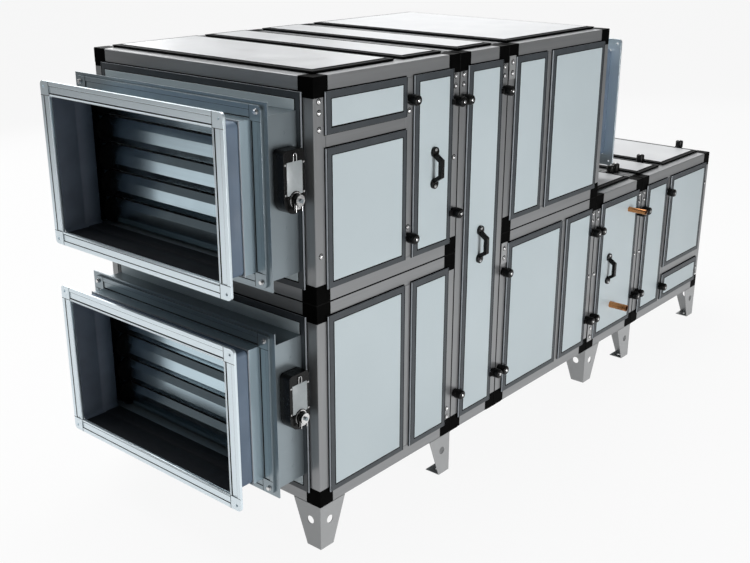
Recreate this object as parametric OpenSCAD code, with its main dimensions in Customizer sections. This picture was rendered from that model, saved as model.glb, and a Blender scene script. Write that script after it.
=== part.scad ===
// Air handling unit: seven framed sections on two tiers, standing on sheet-metal feet.
// X runs along the unit from the damper end, Y from the service side to the back, Z up from the floor.

/* [Sections] */
// Length of the intake section and of the exhaust section above it
len_intake = 690; // [560:5:1000]
// Length of the rotor section, which takes both tiers
len_rotor = 284; // [240:2:500]
// Length of the fan section and of the extract section above it
len_fan = 703; // [560:1:1000]
// Length of the heater section
len_heater = 410; // [300:5:700]
// Length of the outlet section
len_outlet = 697; // [560:1:1000]
// Height of the lower tier
tier_low = 690; // [660:5:900]
// Height of the upper tier
tier_up = 675; // [660:5:900]
// Depth of the unit from the service side to the back
depth = 1010; // [980:5:1400]

/* [Frame] */
// Side of the square frame profile
profile = 50; // [46:1:56]
// Chamfer along the edges of the profile
profile_chamfer = 2; // [1:0.5:4]
// Reach of a corner block along each of its three edges
corner_reach = 60; // [58:1:80]
// Visible width of a mullion or transom between two panels
mullion_face = 40; // [30:1:60]

/* [Panels] */
// Overlap of a panel's edge on the frame
panel_lap = 6; // [4:1:10]
// Height of a panel's rim above the frame
rim_proud = 8; // [6:1:14]
// Thickness of the gasket under a panel's rim
gasket_t = 4; // [2:0.5:5]
// Distance of the gasket from the rim's edge
gasket_inset = 2; // [1:0.5:4]
// Width of the rim around a panel's face
rim_w = 22; // [14:1:28]
// Height of the face above the rim
face_rise = 2; // [1:0.5:4]
// Thickness of the insulated core in the frame opening
core_t = 35; // [20:1:42]
// Play between the core and the frame opening
core_play = 1; // [0.5:0.5:2]
// Width of a narrow panel
narrow_w = 198; // [160:1:240]
// Height of the small panel in the exhaust and outlet sections
small_h = 122; // [100:1:180]

/* [Duct connections] */
// Inside width of the collars and connectors
duct_w = 764; // [700:2:770]
// Inside height of the collars and connectors
duct_h = 444; // [400:2:460]
// Room inside a damper casing on each side of the duct
side_pocket = 60; // [50:1:64]
// Room inside a damper casing above and below the duct
top_pocket = 15.5; // [10:0.5:24]
// Thickness of the casing and connector sheet
duct_wall = 3; // [2:0.5:4]
// Distance from the frame's end to the mating face of a damper casing
casing_depth = 120; // [118:1:160]
// Distance from the frame's end to the mating face of the outlet collar
outlet_collar_depth = 30; // [28:1:60]
// Thickness of the plate on the mating face of a casing or collar
mouth_t = 4; // [3:0.5:6]
// Reach of a casing's plate above and below its walls
mouth_lip = 36; // [34:1:44]
// Length of a flexible connector from its collar to its duct flange's face
connector_len = 145; // [120:1:200]
// Length of the steel strip that holds the fabric
strip_len = 45; // [25:1:60]
// Width of a flange's rails
rail_w = 45; // [40:1:50]
// Thickness of a flange
rail_t = 9; // [7:0.5:14]
// Width of the raised band along a rail's outer edge
rail_band = 14; // [8:1:18]
// Depth of a rail's flat below its raised band
rail_step = 2; // [1:0.5:3]
// Width of the groove along a rail
rail_groove_w = 3; // [2:0.5:5]
// Depth of the groove along a rail
rail_groove_d = 5; // [3:0.5:6]
// Width of the lip along a rail's inner edge
rail_lip = 6; // [4:0.5:8]
// Radius of a flange's outer corners
flange_round = 14; // [6:1:16]
// Distance of a flange corner's bolt hole from both outer edges
flange_hole_inset = 18; // [15:1:22]
// Radius of the bolt hole in a flange corner
flange_hole_r = 4.5; // [3:0.5:6]

/* [Damper blades] */
// Gap between the edges of two closed blades
blade_gap = 5; // [5:0.5:10]
// Width of the flat middle of a blade
blade_flat = 38; // [26:1:50]
// Thickness of a blade at its flat middle
blade_t = 26; // [18:1:34]
// Radius of the blade's rounded edges
blade_edge_r = 2.5; // [1.5:0.5:4]
// Radius of the blade shafts
shaft_r = 6; // [5:0.5:8]
// Running clearance of a shaft in its bore
shaft_play = 0.1; // [0.05:0.01:0.1]
// Distance that a shaft's end stands out of the casing
shaft_stub = 6; // [3:1:12]
// Distance that the driven shafts end inside the casing's near wall
shaft_inset = 0.5; // [0.3:0.1:1]
// Distance from the casing's side walls to the blades and gears
blade_end_gap = 5; // [5:0.5:8]
// Distance from the gears to the casing's top and bottom walls
blade_wall_gap = 5.7; // [5:0.1:10]
// Number of teeth on a blade gear
gear_teeth = 28; // [20:2:36]
// Height of a gear tooth outside the pitch circle
gear_addendum = 1.8; // [1:0.1:2]
// Depth of a gear tooth inside the pitch circle
gear_dedendum = 2.8; // [2:0.1:4]
// Width of a gear along its shaft
gear_w = 12; // [8:1:16]

/* [Actuators] */
// Length of an actuator along the casing's height
actuator_h = 186; // [150:1:220]
// Width of an actuator, which is round about the shaft at its lower end
actuator_w = 84; // [70:1:88]
// Thickness of an actuator outwards from the casing
actuator_t = 42; // [35:1:60]
// Radius of the actuator's upper corners
actuator_corner_r = 14; // [6:1:20]
// Radius of the raised hub around the shaft
hub_r = 25; // [20:1:30]
// Height of the raised hub
hub_h = 4; // [3:0.5:8]
// Clearance of the shaft in the actuator's bore
actuator_play = 1.5; // [1:0.5:3]
// Gap between the actuator's hub and the shaft clamp
clamp_gap = 2; // [1:0.5:4]
// Radius of the shaft clamp's ring
clamp_r = 17; // [14:1:24]
// Thickness of the shaft clamp's ring
clamp_t = 16; // [10:1:20]
// Reach of the clamp's saddle from the shaft
clamp_saddle = 26; // [20:1:32]
// Distance that the clamp's studs stand out of the saddle
clamp_stud_out = 6; // [3:1:10]

/* [Feet] */
// Height of the feet
foot_h = 155; // [100:5:250]
// Width of a foot's leg under the frame
foot_top_w = 118; // [90:1:150]
// Width of a foot's leg at the floor
foot_base_w = 60; // [45:1:80]
// Thickness of the feet's sheet
foot_t = 3; // [2:0.5:6]
// Radius of the round hole in each leg
foot_hole_r = 14; // [8:1:18]
// Height of the round hole as a share of the foot's height
foot_hole_share = 0.62; // [0.5:0.01:0.7]
// Radius of the bolt hole in a foot's base
foot_bolt_r = 6; // [4:0.5:8]
// Width of the turned-in tab under the frame
foot_tab = 32; // [20:1:44]

/* [Fittings] */
// Height of a door handle over its two ends
handle_h = 138; // [110:1:200]
// Length of the straight part of a handle's grip
handle_straight = 58; // [40:1:64]
// Distance that a handle stands off its door
handle_out = 37; // [34:1:60]
// Distance of the exhaust door's handle below the middle of its section
exhaust_handle_drop = 13; // [0:1:60]
// Distance of the rotor door's handle from its edge beside the intake section
rotor_handle_inset = 87; // [45:1:110]
// Distance of the heater door's handle from its edge beside the fan section
heater_handle_inset = 81; // [45:1:110]
// Radius of a handle's round ends
handle_end_r = 17; // [14:0.5:20]
// Width of a handle's grip
handle_grip = 16; // [10:1:18]
// Thickness of a handle's grip
handle_bow_t = 13; // [8:1:14]
// Thickness of a handle's round ends
handle_end_t = 8; // [4:0.5:10]
// Radius of a clamp knob's head
knob_r = 17.5; // [12:0.5:20]
// Height of a clamp knob's head above the panel rims
knob_h = 31; // [16:1:40]
// Radius of a clamp knob's stem
knob_stem_r = 15; // [6:0.5:16]
// Rounding around a clamp knob's head
knob_round = 6.5; // [1:0.5:10]
// Thickness of a clamp knob's tongue
knob_tongue_t = 6; // [4:0.5:8]
// Distance of the knobs on outer posts from the section's lower and upper edges
knob_inset = 150; // [120:5:220]
// Distance of the knobs on mullions from the section's lower and upper edges
mullion_knob_inset = 115; // [90:5:140]
// Outside radius of the upper heater pipe
pipe_up_r = 11; // [6:0.5:16]
// Outside radius of the lower heater pipe
pipe_low_r = 14; // [8:0.5:20]
// Wall of the heater pipes
pipe_wall = 1.5; // [1:0.5:3]
// Distance that the heater pipes stand out of their panel
pipe_out = 80; // [50:5:140]
// Play of the heater pipes in their panel
pipe_play = 0.3; // [0.2:0.1:1]
// Distance of the upper pipe from the panel's edge beside the outlet section
pipe_up_inset = 88; // [60:1:110]
// Distance of the lower pipe from the panel's edge beside the outlet section
pipe_low_inset = 192; // [60:1:194]
// Distance of the lower pipe from the section's lower edge
pipe_low_z = 167; // [110:1:220]
// Distance of the upper pipe from the section's upper edge
pipe_up_z = 112; // [90:1:200]
// Width of a joining plate
plate_w = 38; // [30:1:40]
// Height of a joining plate
plate_h = 80; // [60:1:84]
// Distance of a joining plate from the section's edge
plate_inset = 38; // [30:1:46]
// Thickness of a joining plate
plate_t = 2.5; // [1.5:0.5:4]

/* [Hidden] */
$fn = 48;
// Small overlap that makes a cut run past the face it opens
cut = 1;
profile_face = profile - panel_lap;
face_level = rim_proud + face_rise;

// Seams between the sections along X
x_intake = 0;
x_rotor = x_intake + len_intake;
x_fan = x_rotor + len_rotor;
x_heater = x_fan + len_fan;
x_outlet = x_heater + len_heater;
x_end = x_outlet + len_outlet;
// Undersides and tops of the tiers
z_low = foot_h;
z_mid = z_low + tier_low;
z_top = z_mid + tier_up;

// Each section as its near lower corner and its size
intake = [[x_intake, 0, z_low], [len_intake, depth, tier_low]];
exhaust = [[x_intake, 0, z_mid], [len_intake, depth, tier_up]];
rotor = [[x_rotor, 0, z_low], [len_rotor, depth, tier_low + tier_up]];
fan = [[x_fan, 0, z_low], [len_fan, depth, tier_low]];
extract = [[x_fan, 0, z_mid], [len_fan, depth, tier_up]];
heater = [[x_heater, 0, z_low], [len_heater, depth, tier_low]];
outlet = [[x_outlet, 0, z_low], [len_outlet, depth, tier_low]];

// Middle of the whole unit, which becomes the origin
x_low_end = -casing_depth - connector_len;
x_high_end = x_end + outlet_collar_depth + connector_len;
x_mid = (x_low_end + x_high_end) / 2;
y_low_end = -face_level - pipe_out;
y_high_end = depth + face_level;
y_mid = (y_low_end + y_high_end) / 2;

// Centre heights of the duct connections
z_duct_low = z_low + tier_low / 2;
z_duct_up = z_mid + tier_up / 2;
// Mullion lines that part a narrow panel from a wide one
x_intake_mullion = x_rotor - profile_face - narrow_w - mullion_face / 2;
x_fan_mullion = x_heater - profile_face - narrow_w - mullion_face / 2;
x_extract_mullion = x_fan + profile_face + narrow_w + mullion_face / 2;
x_outlet_mullion = x_outlet + profile_face + narrow_w + mullion_face / 2;
// Transoms that part a small panel from a large one
z_exhaust_transom = z_top - profile_face - small_h - mullion_face / 2;
z_outlet_transom = z_low + profile_face + small_h + mullion_face / 2;
mullion_w = mullion_face + 2 * panel_lap;

// Inside of a damper casing, and its outside
damper_w = duct_w + 2 * side_pocket;
damper_h = duct_h + 2 * top_pocket;
casing_w = damper_w + 2 * duct_wall;
casing_h = damper_h + 2 * duct_wall;
collar_w = duct_w + 2 * duct_wall;
collar_h = duct_h + 2 * duct_wall;
// Outside of the flange around a connector's opening
flange_w = duct_w + 2 * rail_w;
flange_h = duct_h + 2 * rail_w;

// Damper blades, measured from the middle of the duct
blade_count = 5;
lead_blade = (blade_count + 1) / 2;
blade_pitch = (damper_h - 2 * (blade_wall_gap + gear_addendum)) / blade_count;
blade_s = (rim_proud + casing_depth - mouth_t) / 2;
blade_chord = blade_pitch - blade_gap;
gear_out_r = blade_pitch / 2 + gear_addendum;
gear_root_r = blade_pitch / 2 - gear_dedendum;
gear_start = -damper_w / 2 + blade_end_gap;
blade_start = gear_start + gear_w;
blade_end = damper_w / 2 - blade_end_gap;
clamp_start = casing_w / 2 + actuator_t + hub_h + clamp_gap;
lead_shaft_end = clamp_start + clamp_t + shaft_stub;
// Half widths of a gear tooth at its root and at its tip, as shares of the tooth spacing
tooth_root = 0.3;
tooth_tip = 0.13;

// Colours
aluminium = [0.55, 0.56, 0.57];
plastic = [0.06, 0.06, 0.07];
panel_blue = [0.74, 0.79, 0.81];
zinc = [0.76, 0.79, 0.81];
fabric = [0.36, 0.41, 0.48];
blade_grey = [0.58, 0.61, 0.63];
copper = [0.78, 0.42, 0.22];

// Moves the unit so that the middle of its footprint is the origin
module placed() {
  translate([-x_mid, -y_mid, 0]) children();
}

// Frame profile along Z, with its corner at the origin
module profile_bar(len, width = profile, thick = profile) {
  c = profile_chamfer;
  linear_extrude(len) polygon([[c, 0], [width - c, 0], [width, c], [width, thick - c],
    [width - c, thick], [c, thick], [0, thick - c], [0, c]]);
}

module bar_x(len, width = profile, thick = profile) {
  rotate([90, 0, 90]) profile_bar(len, width, thick);
}

module bar_y(len, width = profile, thick = profile) {
  translate([0, len, 0]) rotate([90, 0, 0]) profile_bar(len, width, thick);
}

// The twelve edges of one section between its corner blocks
module section_frame(section) {
  size = section[1];
  far = size - [profile, profile, profile];
  color(aluminium) placed() translate(section[0]) {
    for (y = [0, far[1]], z = [0, far[2]])
      translate([corner_reach, y, z]) bar_x(size[0] - 2 * corner_reach);
    for (x = [0, far[0]], z = [0, far[2]])
      translate([x, corner_reach, z]) bar_y(size[1] - 2 * corner_reach);
    for (x = [0, far[0]], y = [0, far[1]])
      translate([x, y, corner_reach]) profile_bar(size[2] - 2 * corner_reach);
  }
}

// Three-armed block that joins three profiles at a corner
module corner_block() {
  bar_x(corner_reach);
  bar_y(corner_reach);
  profile_bar(corner_reach);
}

module section_corners(section) {
  size = section[1];
  color(plastic) placed() translate(section[0])
    for (i = [0, 1], j = [0, 1], k = [0, 1])
      translate([i * size[0], j * size[1], k * size[2]])
        mirror([i, 0, 0]) mirror([0, j, 0]) mirror([0, 0, k]) corner_block();
}

// Upright between two panels of a tier's long side
module mullion(x, section, y) {
  translate([x - mullion_w / 2, y, section[0][2] + profile])
    profile_bar(section[1][2] - 2 * profile, mullion_w, profile);
}

module mullions() {
  lines = [[x_intake_mullion, intake], [x_intake_mullion, exhaust], [x_fan_mullion, fan],
    [x_extract_mullion, extract], [x_outlet_mullion, outlet]];
  color(aluminium) placed()
    for (line = lines, y = [0, depth - profile]) mullion(line[0], line[1], y);
}

// Transoms over and under the small panels, and the roof bars between two roof panels
module cross_bars() {
  color(aluminium) placed() {
    translate([x_intake + profile, 0, z_exhaust_transom - mullion_w / 2])
      bar_x(x_intake_mullion - mullion_w / 2 - x_intake - profile, profile, mullion_w);
    translate([x_outlet_mullion + mullion_w / 2, 0, z_outlet_transom - mullion_w / 2])
      bar_x(x_end - profile - x_outlet_mullion - mullion_w / 2, profile, mullion_w);
    for (bar = [[x_intake_mullion, z_top], [x_outlet_mullion, z_mid]])
      translate([bar[0] - mullion_w / 2, profile, bar[1] - profile])
        bar_y(depth - 2 * profile, mullion_w, profile);
  }
}

// Insulated panel with a gasket, a rim and a raised face, facing +Z, with its rim's corner at the origin
module panel(w, h) {
  module slab(inset, z0, z1) {
    translate([inset, inset, z0]) cube([w - 2 * inset, h - 2 * inset, z1 - z0]);
  }
  slab(panel_lap + core_play, -core_t, gasket_t + cut);
  slab(gasket_inset, 0, gasket_t + cut);
  slab(0, gasket_t, rim_proud);
  slab(rim_w, 0, face_level);
}

// Panels on the six sides of the unit, given their span along the side
module front_panel(x0, x1, z0, z1) {
  translate([x0, 0, z0]) rotate([90, 0, 0]) panel(x1 - x0, z1 - z0);
}

module back_panel(x0, x1, z0, z1) {
  translate([x1, depth, z0]) rotate([90, 0, 180]) panel(x1 - x0, z1 - z0);
}

module roof_panel(x0, x1, z) {
  translate([x0, profile_face, z]) panel(x1 - x0, depth - 2 * profile_face);
}

module floor_panel(section) {
  translate([section[0][0] + profile_face, depth - profile_face, z_low])
    rotate([180, 0, 0]) panel(section[1][0] - 2 * profile_face, depth - 2 * profile_face);
}

// Left and right panel edges of a section that a mullion parts in two
function left_span(section, x) = [section[0][0] + profile_face, x - mullion_face / 2];
function right_span(section, x) =
  [x + mullion_face / 2, section[0][0] + section[1][0] - profile_face];
function full_span(section) =
  [section[0][0] + profile_face, section[0][0] + section[1][0] - profile_face];
function height_span(section) =
  [section[0][2] + profile_face, section[0][2] + section[1][2] - profile_face];

module front_pair(section, x) {
  v = height_span(section);
  for (u = [left_span(section, x), right_span(section, x)]) front_panel(u[0], u[1], v[0], v[1]);
}

module back_pair(section, x) {
  v = height_span(section);
  for (u = [left_span(section, x), right_span(section, x)]) back_panel(u[0], u[1], v[0], v[1]);
}

module roof_pair(section, x, z) {
  for (u = [left_span(section, x), right_span(section, x)]) roof_panel(u[0], u[1], z);
}

module intake_panels() {
  color(panel_blue) placed() {
    front_pair(intake, x_intake_mullion);
    back_pair(intake, x_intake_mullion);
    floor_panel(intake);
  }
}

module exhaust_panels() {
  left = left_span(exhaust, x_intake_mullion);
  right = right_span(exhaust, x_intake_mullion);
  v = height_span(exhaust);
  color(panel_blue) placed() {
    front_panel(left[0], left[1], v[0], z_exhaust_transom - mullion_face / 2);
    front_panel(left[0], left[1], z_exhaust_transom + mullion_face / 2, v[1]);
    front_panel(right[0], right[1], v[0], v[1]);
    back_pair(exhaust, x_intake_mullion);
    roof_pair(exhaust, x_intake_mullion, z_top);
  }
}

module rotor_panels() {
  u = full_span(rotor);
  v = height_span(rotor);
  color(panel_blue) placed() {
    front_panel(u[0], u[1], v[0], v[1]);
    back_panel(u[0], u[1], v[0], v[1]);
    roof_panel(u[0], u[1], z_top);
    floor_panel(rotor);
  }
}

module fan_panels() {
  color(panel_blue) placed() {
    front_pair(fan, x_fan_mullion);
    back_pair(fan, x_fan_mullion);
    floor_panel(fan);
  }
}

module extract_panels() {
  u = full_span(extract);
  color(panel_blue) placed() {
    front_pair(extract, x_extract_mullion);
    back_pair(extract, x_extract_mullion);
    roof_panel(u[0], u[1], z_top);
  }
}

// Places of the two heater pipes on the heater section's front, as [x, z, radius]
heater_edge = x_outlet - profile_face;
pipes = [[heater_edge - pipe_low_inset, z_low + pipe_low_z, pipe_low_r],
  [heater_edge - pipe_up_inset, z_mid - pipe_up_z, pipe_up_r]];

module heater_panels() {
  u = full_span(heater);
  v = height_span(heater);
  color(panel_blue) placed() {
    difference() {
      front_panel(u[0], u[1], v[0], v[1]);
      for (pipe = pipes)
        translate([pipe[0], core_t + cut, pipe[1]]) rotate([90, 0, 0])
          cylinder(h = core_t + face_level + 2 * cut, r = pipe[2] - pipe_wall + pipe_play);
    }
    back_panel(u[0], u[1], v[0], v[1]);
    roof_panel(u[0], u[1], z_mid);
    floor_panel(heater);
  }
}

module outlet_panels() {
  left = left_span(outlet, x_outlet_mullion);
  right = right_span(outlet, x_outlet_mullion);
  v = height_span(outlet);
  color(panel_blue) placed() {
    front_panel(left[0], left[1], v[0], v[1]);
    front_panel(right[0], right[1], v[0], z_outlet_transom - mullion_face / 2);
    front_panel(right[0], right[1], z_outlet_transom + mullion_face / 2, v[1]);
    back_pair(outlet, x_outlet_mullion);
    roof_pair(outlet, x_outlet_mullion, z_mid);
    floor_panel(outlet);
  }
}

// Flush boards that part the two tiers, resting in the lower section's top frame
module deck_panels() {
  color(panel_blue) placed()
    for (section = [intake, fan])
      translate([section[0][0] + profile, profile, z_mid - core_t])
        cube([section[1][0] - 2 * profile, depth - 2 * profile, core_t]);
}

// Duct connections: X across the duct, Y up, Z outwards from the frame's end
module at_intake() {
  placed() translate([x_intake, depth / 2, z_duct_low]) rotate([90, 0, -90]) children();
}

module at_exhaust() {
  placed() translate([x_intake, depth / 2, z_duct_up]) rotate([90, 0, -90]) children();
}

module at_extract() {
  placed() translate([x_heater, depth / 2, z_duct_up]) rotate([90, 0, 90]) children();
}

module at_outlet() {
  placed() translate([x_end, depth / 2, z_duct_low]) rotate([90, 0, 90]) children();
}

// Rectangular frame along Z from z0 to z1, given its outside and its opening
module box_frame(z0, z1, outside, opening) {
  translate([0, 0, z0]) linear_extrude(z1 - z0) difference() {
    square(outside, center = true);
    square(opening, center = true);
  }
}

// End panel of a section with an opening, and a seat cut into its face for the collar around it
module end_panel(tier_h, outside, opening) {
  w = depth - 2 * profile_face;
  h = tier_h - 2 * profile_face;
  difference() {
    translate([-w / 2, -h / 2, 0]) panel(w, h);
    translate([0, 0, -core_t - cut]) linear_extrude(core_t + face_level + 2 * cut)
      square(opening, center = true);
    translate([0, 0, rim_proud]) linear_extrude(face_rise + cut) square(outside, center = true);
  }
}

module duct_end_panels() {
  color(panel_blue) {
    at_intake() end_panel(tier_low, [casing_w, casing_h], [damper_w, damper_h]);
    at_exhaust() end_panel(tier_up, [casing_w, casing_h], [damper_w, damper_h]);
    at_extract() end_panel(tier_up, [collar_w, collar_h], [duct_w, duct_h]);
    at_outlet() end_panel(tier_low, [collar_w, collar_h], [duct_w, duct_h]);
  }
}

function blade_y(number) = (number - lead_blade) * blade_pitch;

// Bolt holes through a flange's corners and the plate behind it
module flange_holes(z0, z1) {
  for (i = [-1, 1], j = [-1, 1])
    translate([i * (flange_w / 2 - flange_hole_inset), j * (flange_h / 2 - flange_hole_inset), z0])
      cylinder(h = z1 - z0, r = flange_hole_r);
}

// Damper casing with a plate on its mating face and a bore at both ends of each blade shaft
module damper_casing() {
  difference() {
    union() {
      box_frame(rim_proud, casing_depth, [casing_w, casing_h], [damper_w, damper_h]);
      box_frame(casing_depth - mouth_t, casing_depth, [casing_w, casing_h + 2 * mouth_lip], [duct_w, duct_h]);
    }
    for (i = [1:blade_count])
      translate([-casing_w / 2 - cut, blade_y(i), blade_s]) rotate([0, 90, 0])
        cylinder(h = casing_w + 2 * cut, r = shaft_r + shaft_play);
    flange_holes(casing_depth - mouth_t - cut, casing_depth + cut);
  }
}

module damper_casings() {
  color(zinc) {
    at_intake() damper_casing();
    at_exhaust() damper_casing();
  }
}

// Plain collar with a plate on its mating face
module duct_collar(collar_depth) {
  box_frame(rim_proud, collar_depth, [collar_w, collar_h], [duct_w, duct_h]);
  difference() {
    box_frame(collar_depth - mouth_t, collar_depth, [flange_w, flange_h], [duct_w, duct_h]);
    flange_holes(collar_depth - mouth_t - cut, collar_depth + cut);
  }
}

module duct_collars() {
  color(zinc) {
    at_extract() duct_collar(casing_depth);
    at_outlet() duct_collar(outlet_collar_depth);
  }
}

// Straight rails of a flange from corner to corner, rolled with a raised band, a groove and a lip
module flange_rails() {
  lip = rail_lip - rail_w;
  flat = rail_t - rail_step;
  bed = rail_t - rail_groove_d;
  module rail(len) {
    translate([-len / 2, 0, 0]) rotate([90, 0, 90]) linear_extrude(len)
      polygon([[-rail_w, 0], [0, 0], [0, rail_t], [-rail_band, rail_t], [-rail_band, flat],
        [lip + rail_groove_w, flat], [lip + rail_groove_w, bed], [lip, bed], [lip, rail_t],
        [-rail_w, rail_t]]);
  }
  for (side = [0, 180]) {
    rotate(side) translate([0, flange_h / 2, 0]) rail(duct_w);
    rotate(side + 90) translate([0, flange_w / 2, 0]) rail(duct_h);
  }
}

// Corner pieces of a flange, rounded outside, each with a bolt hole
module flange_corners() {
  flat_w = rail_w - flange_round;
  difference() {
    for (i = [0, 1], j = [0, 1])
      mirror([i, 0, 0]) mirror([0, j, 0]) translate([duct_w / 2, duct_h / 2, 0]) linear_extrude(rail_t) {
        square([flat_w, rail_w]);
        square([rail_w, flat_w]);
        translate([flat_w, flat_w]) circle(flange_round);
      }
    flange_holes(-cut, rail_t + cut);
  }
}

// Draws its children at the collar's flange face of each duct connection
module at_each_collar() {
  at_intake() translate([0, 0, casing_depth]) children();
  at_exhaust() translate([0, 0, casing_depth]) children();
  at_extract() translate([0, 0, casing_depth]) children();
  at_outlet() translate([0, 0, outlet_collar_depth]) children();
}

module damper_rails() {
  color(zinc) at_each_collar() flange_rails();
}

module damper_rail_corners() {
  color(zinc) at_each_collar() flange_corners();
}

// Ends of the fabric along a connector
sleeve_start = rail_t + strip_len;
sleeve_end = connector_len - rail_t;

module connector_strips() {
  color(zinc) at_each_collar() box_frame(rail_t, sleeve_start, [collar_w, collar_h], [duct_w, duct_h]);
}

module connector_sleeves() {
  color(fabric) at_each_collar() box_frame(sleeve_start, sleeve_end, [collar_w, collar_h], [duct_w, duct_h]);
}

module duct_rails() {
  color(zinc) at_each_collar() translate([0, 0, sleeve_end]) flange_rails();
}

module duct_rail_corners() {
  color(zinc) at_each_collar() translate([0, 0, sleeve_end]) flange_corners();
}

function arc(centre, r, a0, a1, steps) =
  [for (i = [0:steps]) let (a = a0 + (a1 - a0) * i / steps) centre + r * [cos(a), sin(a)]];

// Blade section: flat in the middle and tapered to two rounded edges along X
module blade_section() {
  reach = blade_chord / 2 - blade_edge_r;
  flat = blade_flat / 2;
  half = blade_t / 2;
  // Angle at which the taper leaves the rounded edge
  turn = atan2(half, flat - reach) - acos(blade_edge_r / norm([flat - reach, half]));
  polygon(concat(
    arc([reach, 0], blade_edge_r, -turn, turn, 8), [[flat, half], [-flat, half]],
    arc([-reach, 0], blade_edge_r, 180 - turn, 180 + turn, 8), [[-flat, -half], [flat, -half]]));
}

// Blade gear: flat-topped teeth that are a little slimmer than their gaps
module blade_gear(turn) {
  step = 360 / gear_teeth;
  outline = [[gear_root_r, -tooth_root], [gear_out_r, -tooth_tip], [gear_out_r, tooth_tip],
    [gear_root_r, tooth_root]];
  linear_extrude(gear_w) rotate(turn) polygon([for (i = [0:gear_teeth - 1], p = outline)
    p[0] * [cos((i + p[1]) * step), sin((i + p[1]) * step)]]);
}

// Blade with its gear and shaft, lying along X with the gear at the far end
module damper_blade(number) {
  leads = number == lead_blade;
  shaft_end = leads ? lead_shaft_end : casing_w / 2 - shaft_inset;
  shaft_start = -casing_w / 2 - shaft_stub;
  gear_turn = number % 2 == 0 ? 0 : 180 / gear_teeth;
  translate([0, blade_y(number), blade_s]) {
    translate([blade_start, 0, 0]) rotate([90, 0, 90])
      linear_extrude(blade_end - blade_start) blade_section();
    translate([gear_start, 0, 0]) rotate([90, 0, 90]) blade_gear(gear_turn);
    translate([shaft_start, 0, 0]) rotate([0, 90, 0]) cylinder(h = shaft_end - shaft_start, r = shaft_r);
  }
}

module intake_blade(number) {
  color(blade_grey) at_intake() damper_blade(number);
}

module exhaust_blade(number) {
  color(blade_grey) at_exhaust() damper_blade(number);
}

// Clamp that grips the lead shaft in front of the actuator: a ring with a saddle and two studs
module shaft_clamp() {
  stud_r = shaft_r / 2;
  stud_x = shaft_r + 2 * stud_r;
  translate([clamp_start, 0, blade_s]) rotate([0, 90, 0]) difference() {
    union() {
      cylinder(h = clamp_t, r = clamp_r);
      translate([-clamp_r, -clamp_saddle, 0]) cube([2 * clamp_r, clamp_saddle, clamp_t / 2]);
      for (i = [-1, 1])
        translate([i * stud_x, 0, clamp_t / 2]) rotate([90, 0, 0])
          cylinder(h = clamp_saddle + clamp_stud_out, r = stud_r);
    }
    translate([0, 0, -cut]) cylinder(h = clamp_t + 2 * cut, r = shaft_r + shaft_play);
  }
}

module intake_shaft_clamp() {
  color(zinc) at_intake() shaft_clamp();
}

module exhaust_shaft_clamp() {
  color(zinc) at_exhaust() shaft_clamp();
}

// Actuator housing on the casing's near side wall, round about the lead shaft, with a raised hub
module actuator() {
  half = actuator_w / 2;
  r = actuator_corner_r;
  top = actuator_h - half;
  translate([casing_w / 2, 0, blade_s]) rotate([0, 90, 0]) difference() {
    union() {
      linear_extrude(actuator_t) {
        circle(half);
        translate([-half, 0]) square([actuator_w, top - r]);
        translate([r - half, 0]) square([actuator_w - 2 * r, top]);
        for (i = [-1, 1]) translate([i * (half - r), top - r]) circle(r);
      }
      cylinder(h = actuator_t + hub_h, r = hub_r);
    }
    translate([0, 0, -cut]) cylinder(h = actuator_t + hub_h + 2 * cut, r = shaft_r + actuator_play);
  }
}

module actuators() {
  color(plastic) {
    at_intake() actuator();
    at_exhaust() actuator();
  }
}

// Bent-sheet foot: two tapered legs at a right angle, turned-in tabs above and a base below
module foot() {
  hole_x = (foot_top_w + foot_base_w) / 4;
  module leg() {
    difference() {
      translate([0, foot_t, 0]) rotate([90, 0, 0]) linear_extrude(foot_t)
        polygon([[0, 0], [foot_base_w, 0], [foot_top_w, foot_h], [0, foot_h]]);
      translate([hole_x, foot_t + cut, foot_h * foot_hole_share]) rotate([90, 0, 0])
        cylinder(h = foot_t + 2 * cut, r = foot_hole_r);
    }
    translate([0, 0, foot_h - foot_t]) cube([foot_top_w, foot_tab, foot_t]);
  }
  leg();
  mirror([1, -1, 0]) leg();
  difference() {
    cube([foot_base_w, foot_base_w, foot_t]);
    translate([foot_base_w / 2, foot_base_w / 2, -cut]) cylinder(h = foot_t + 2 * cut, r = foot_bolt_r);
  }
}

module feet() {
  stands = [[x_intake, 0], [x_rotor, 1], [x_heater, 0], [x_outlet, 1], [x_end, 1]];
  color(aluminium) placed()
    for (stand = stands, j = [0, 1])
      translate([stand[0], j * depth, 0]) mirror([stand[1], 0, 0]) mirror([0, j, 0]) foot();
}

// Bridge handle on the face of a door: a straight grip on two slanting arms, each with a flat round end
module door_handle(x, z) {
  reach = handle_h / 2 - handle_end_r;
  grip_half = handle_straight / 2;
  foot_out = reach + handle_end_r / 8;
  foot_in = foot_out - handle_grip;
  under = handle_out - handle_bow_t;
  // Inner end of the straight part, which keeps the arm as wide as its foot
  bend = foot_in - (foot_out - grip_half) * under / handle_out;
  translate([x, -face_level, z]) rotate([90, 0, 0]) {
    for (j = [-1, 1])
      translate([0, j * reach, 0]) cylinder(h = handle_end_t, r = handle_end_r);
    translate([-handle_grip / 2, 0, 0]) rotate([90, 0, 90]) linear_extrude(handle_grip)
      polygon([[-foot_out, 0], [-foot_in, 0], [-bend, under], [bend, under], [foot_in, 0], [foot_out, 0],
        [grip_half, handle_out], [-grip_half, handle_out]]);
  }
}

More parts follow.
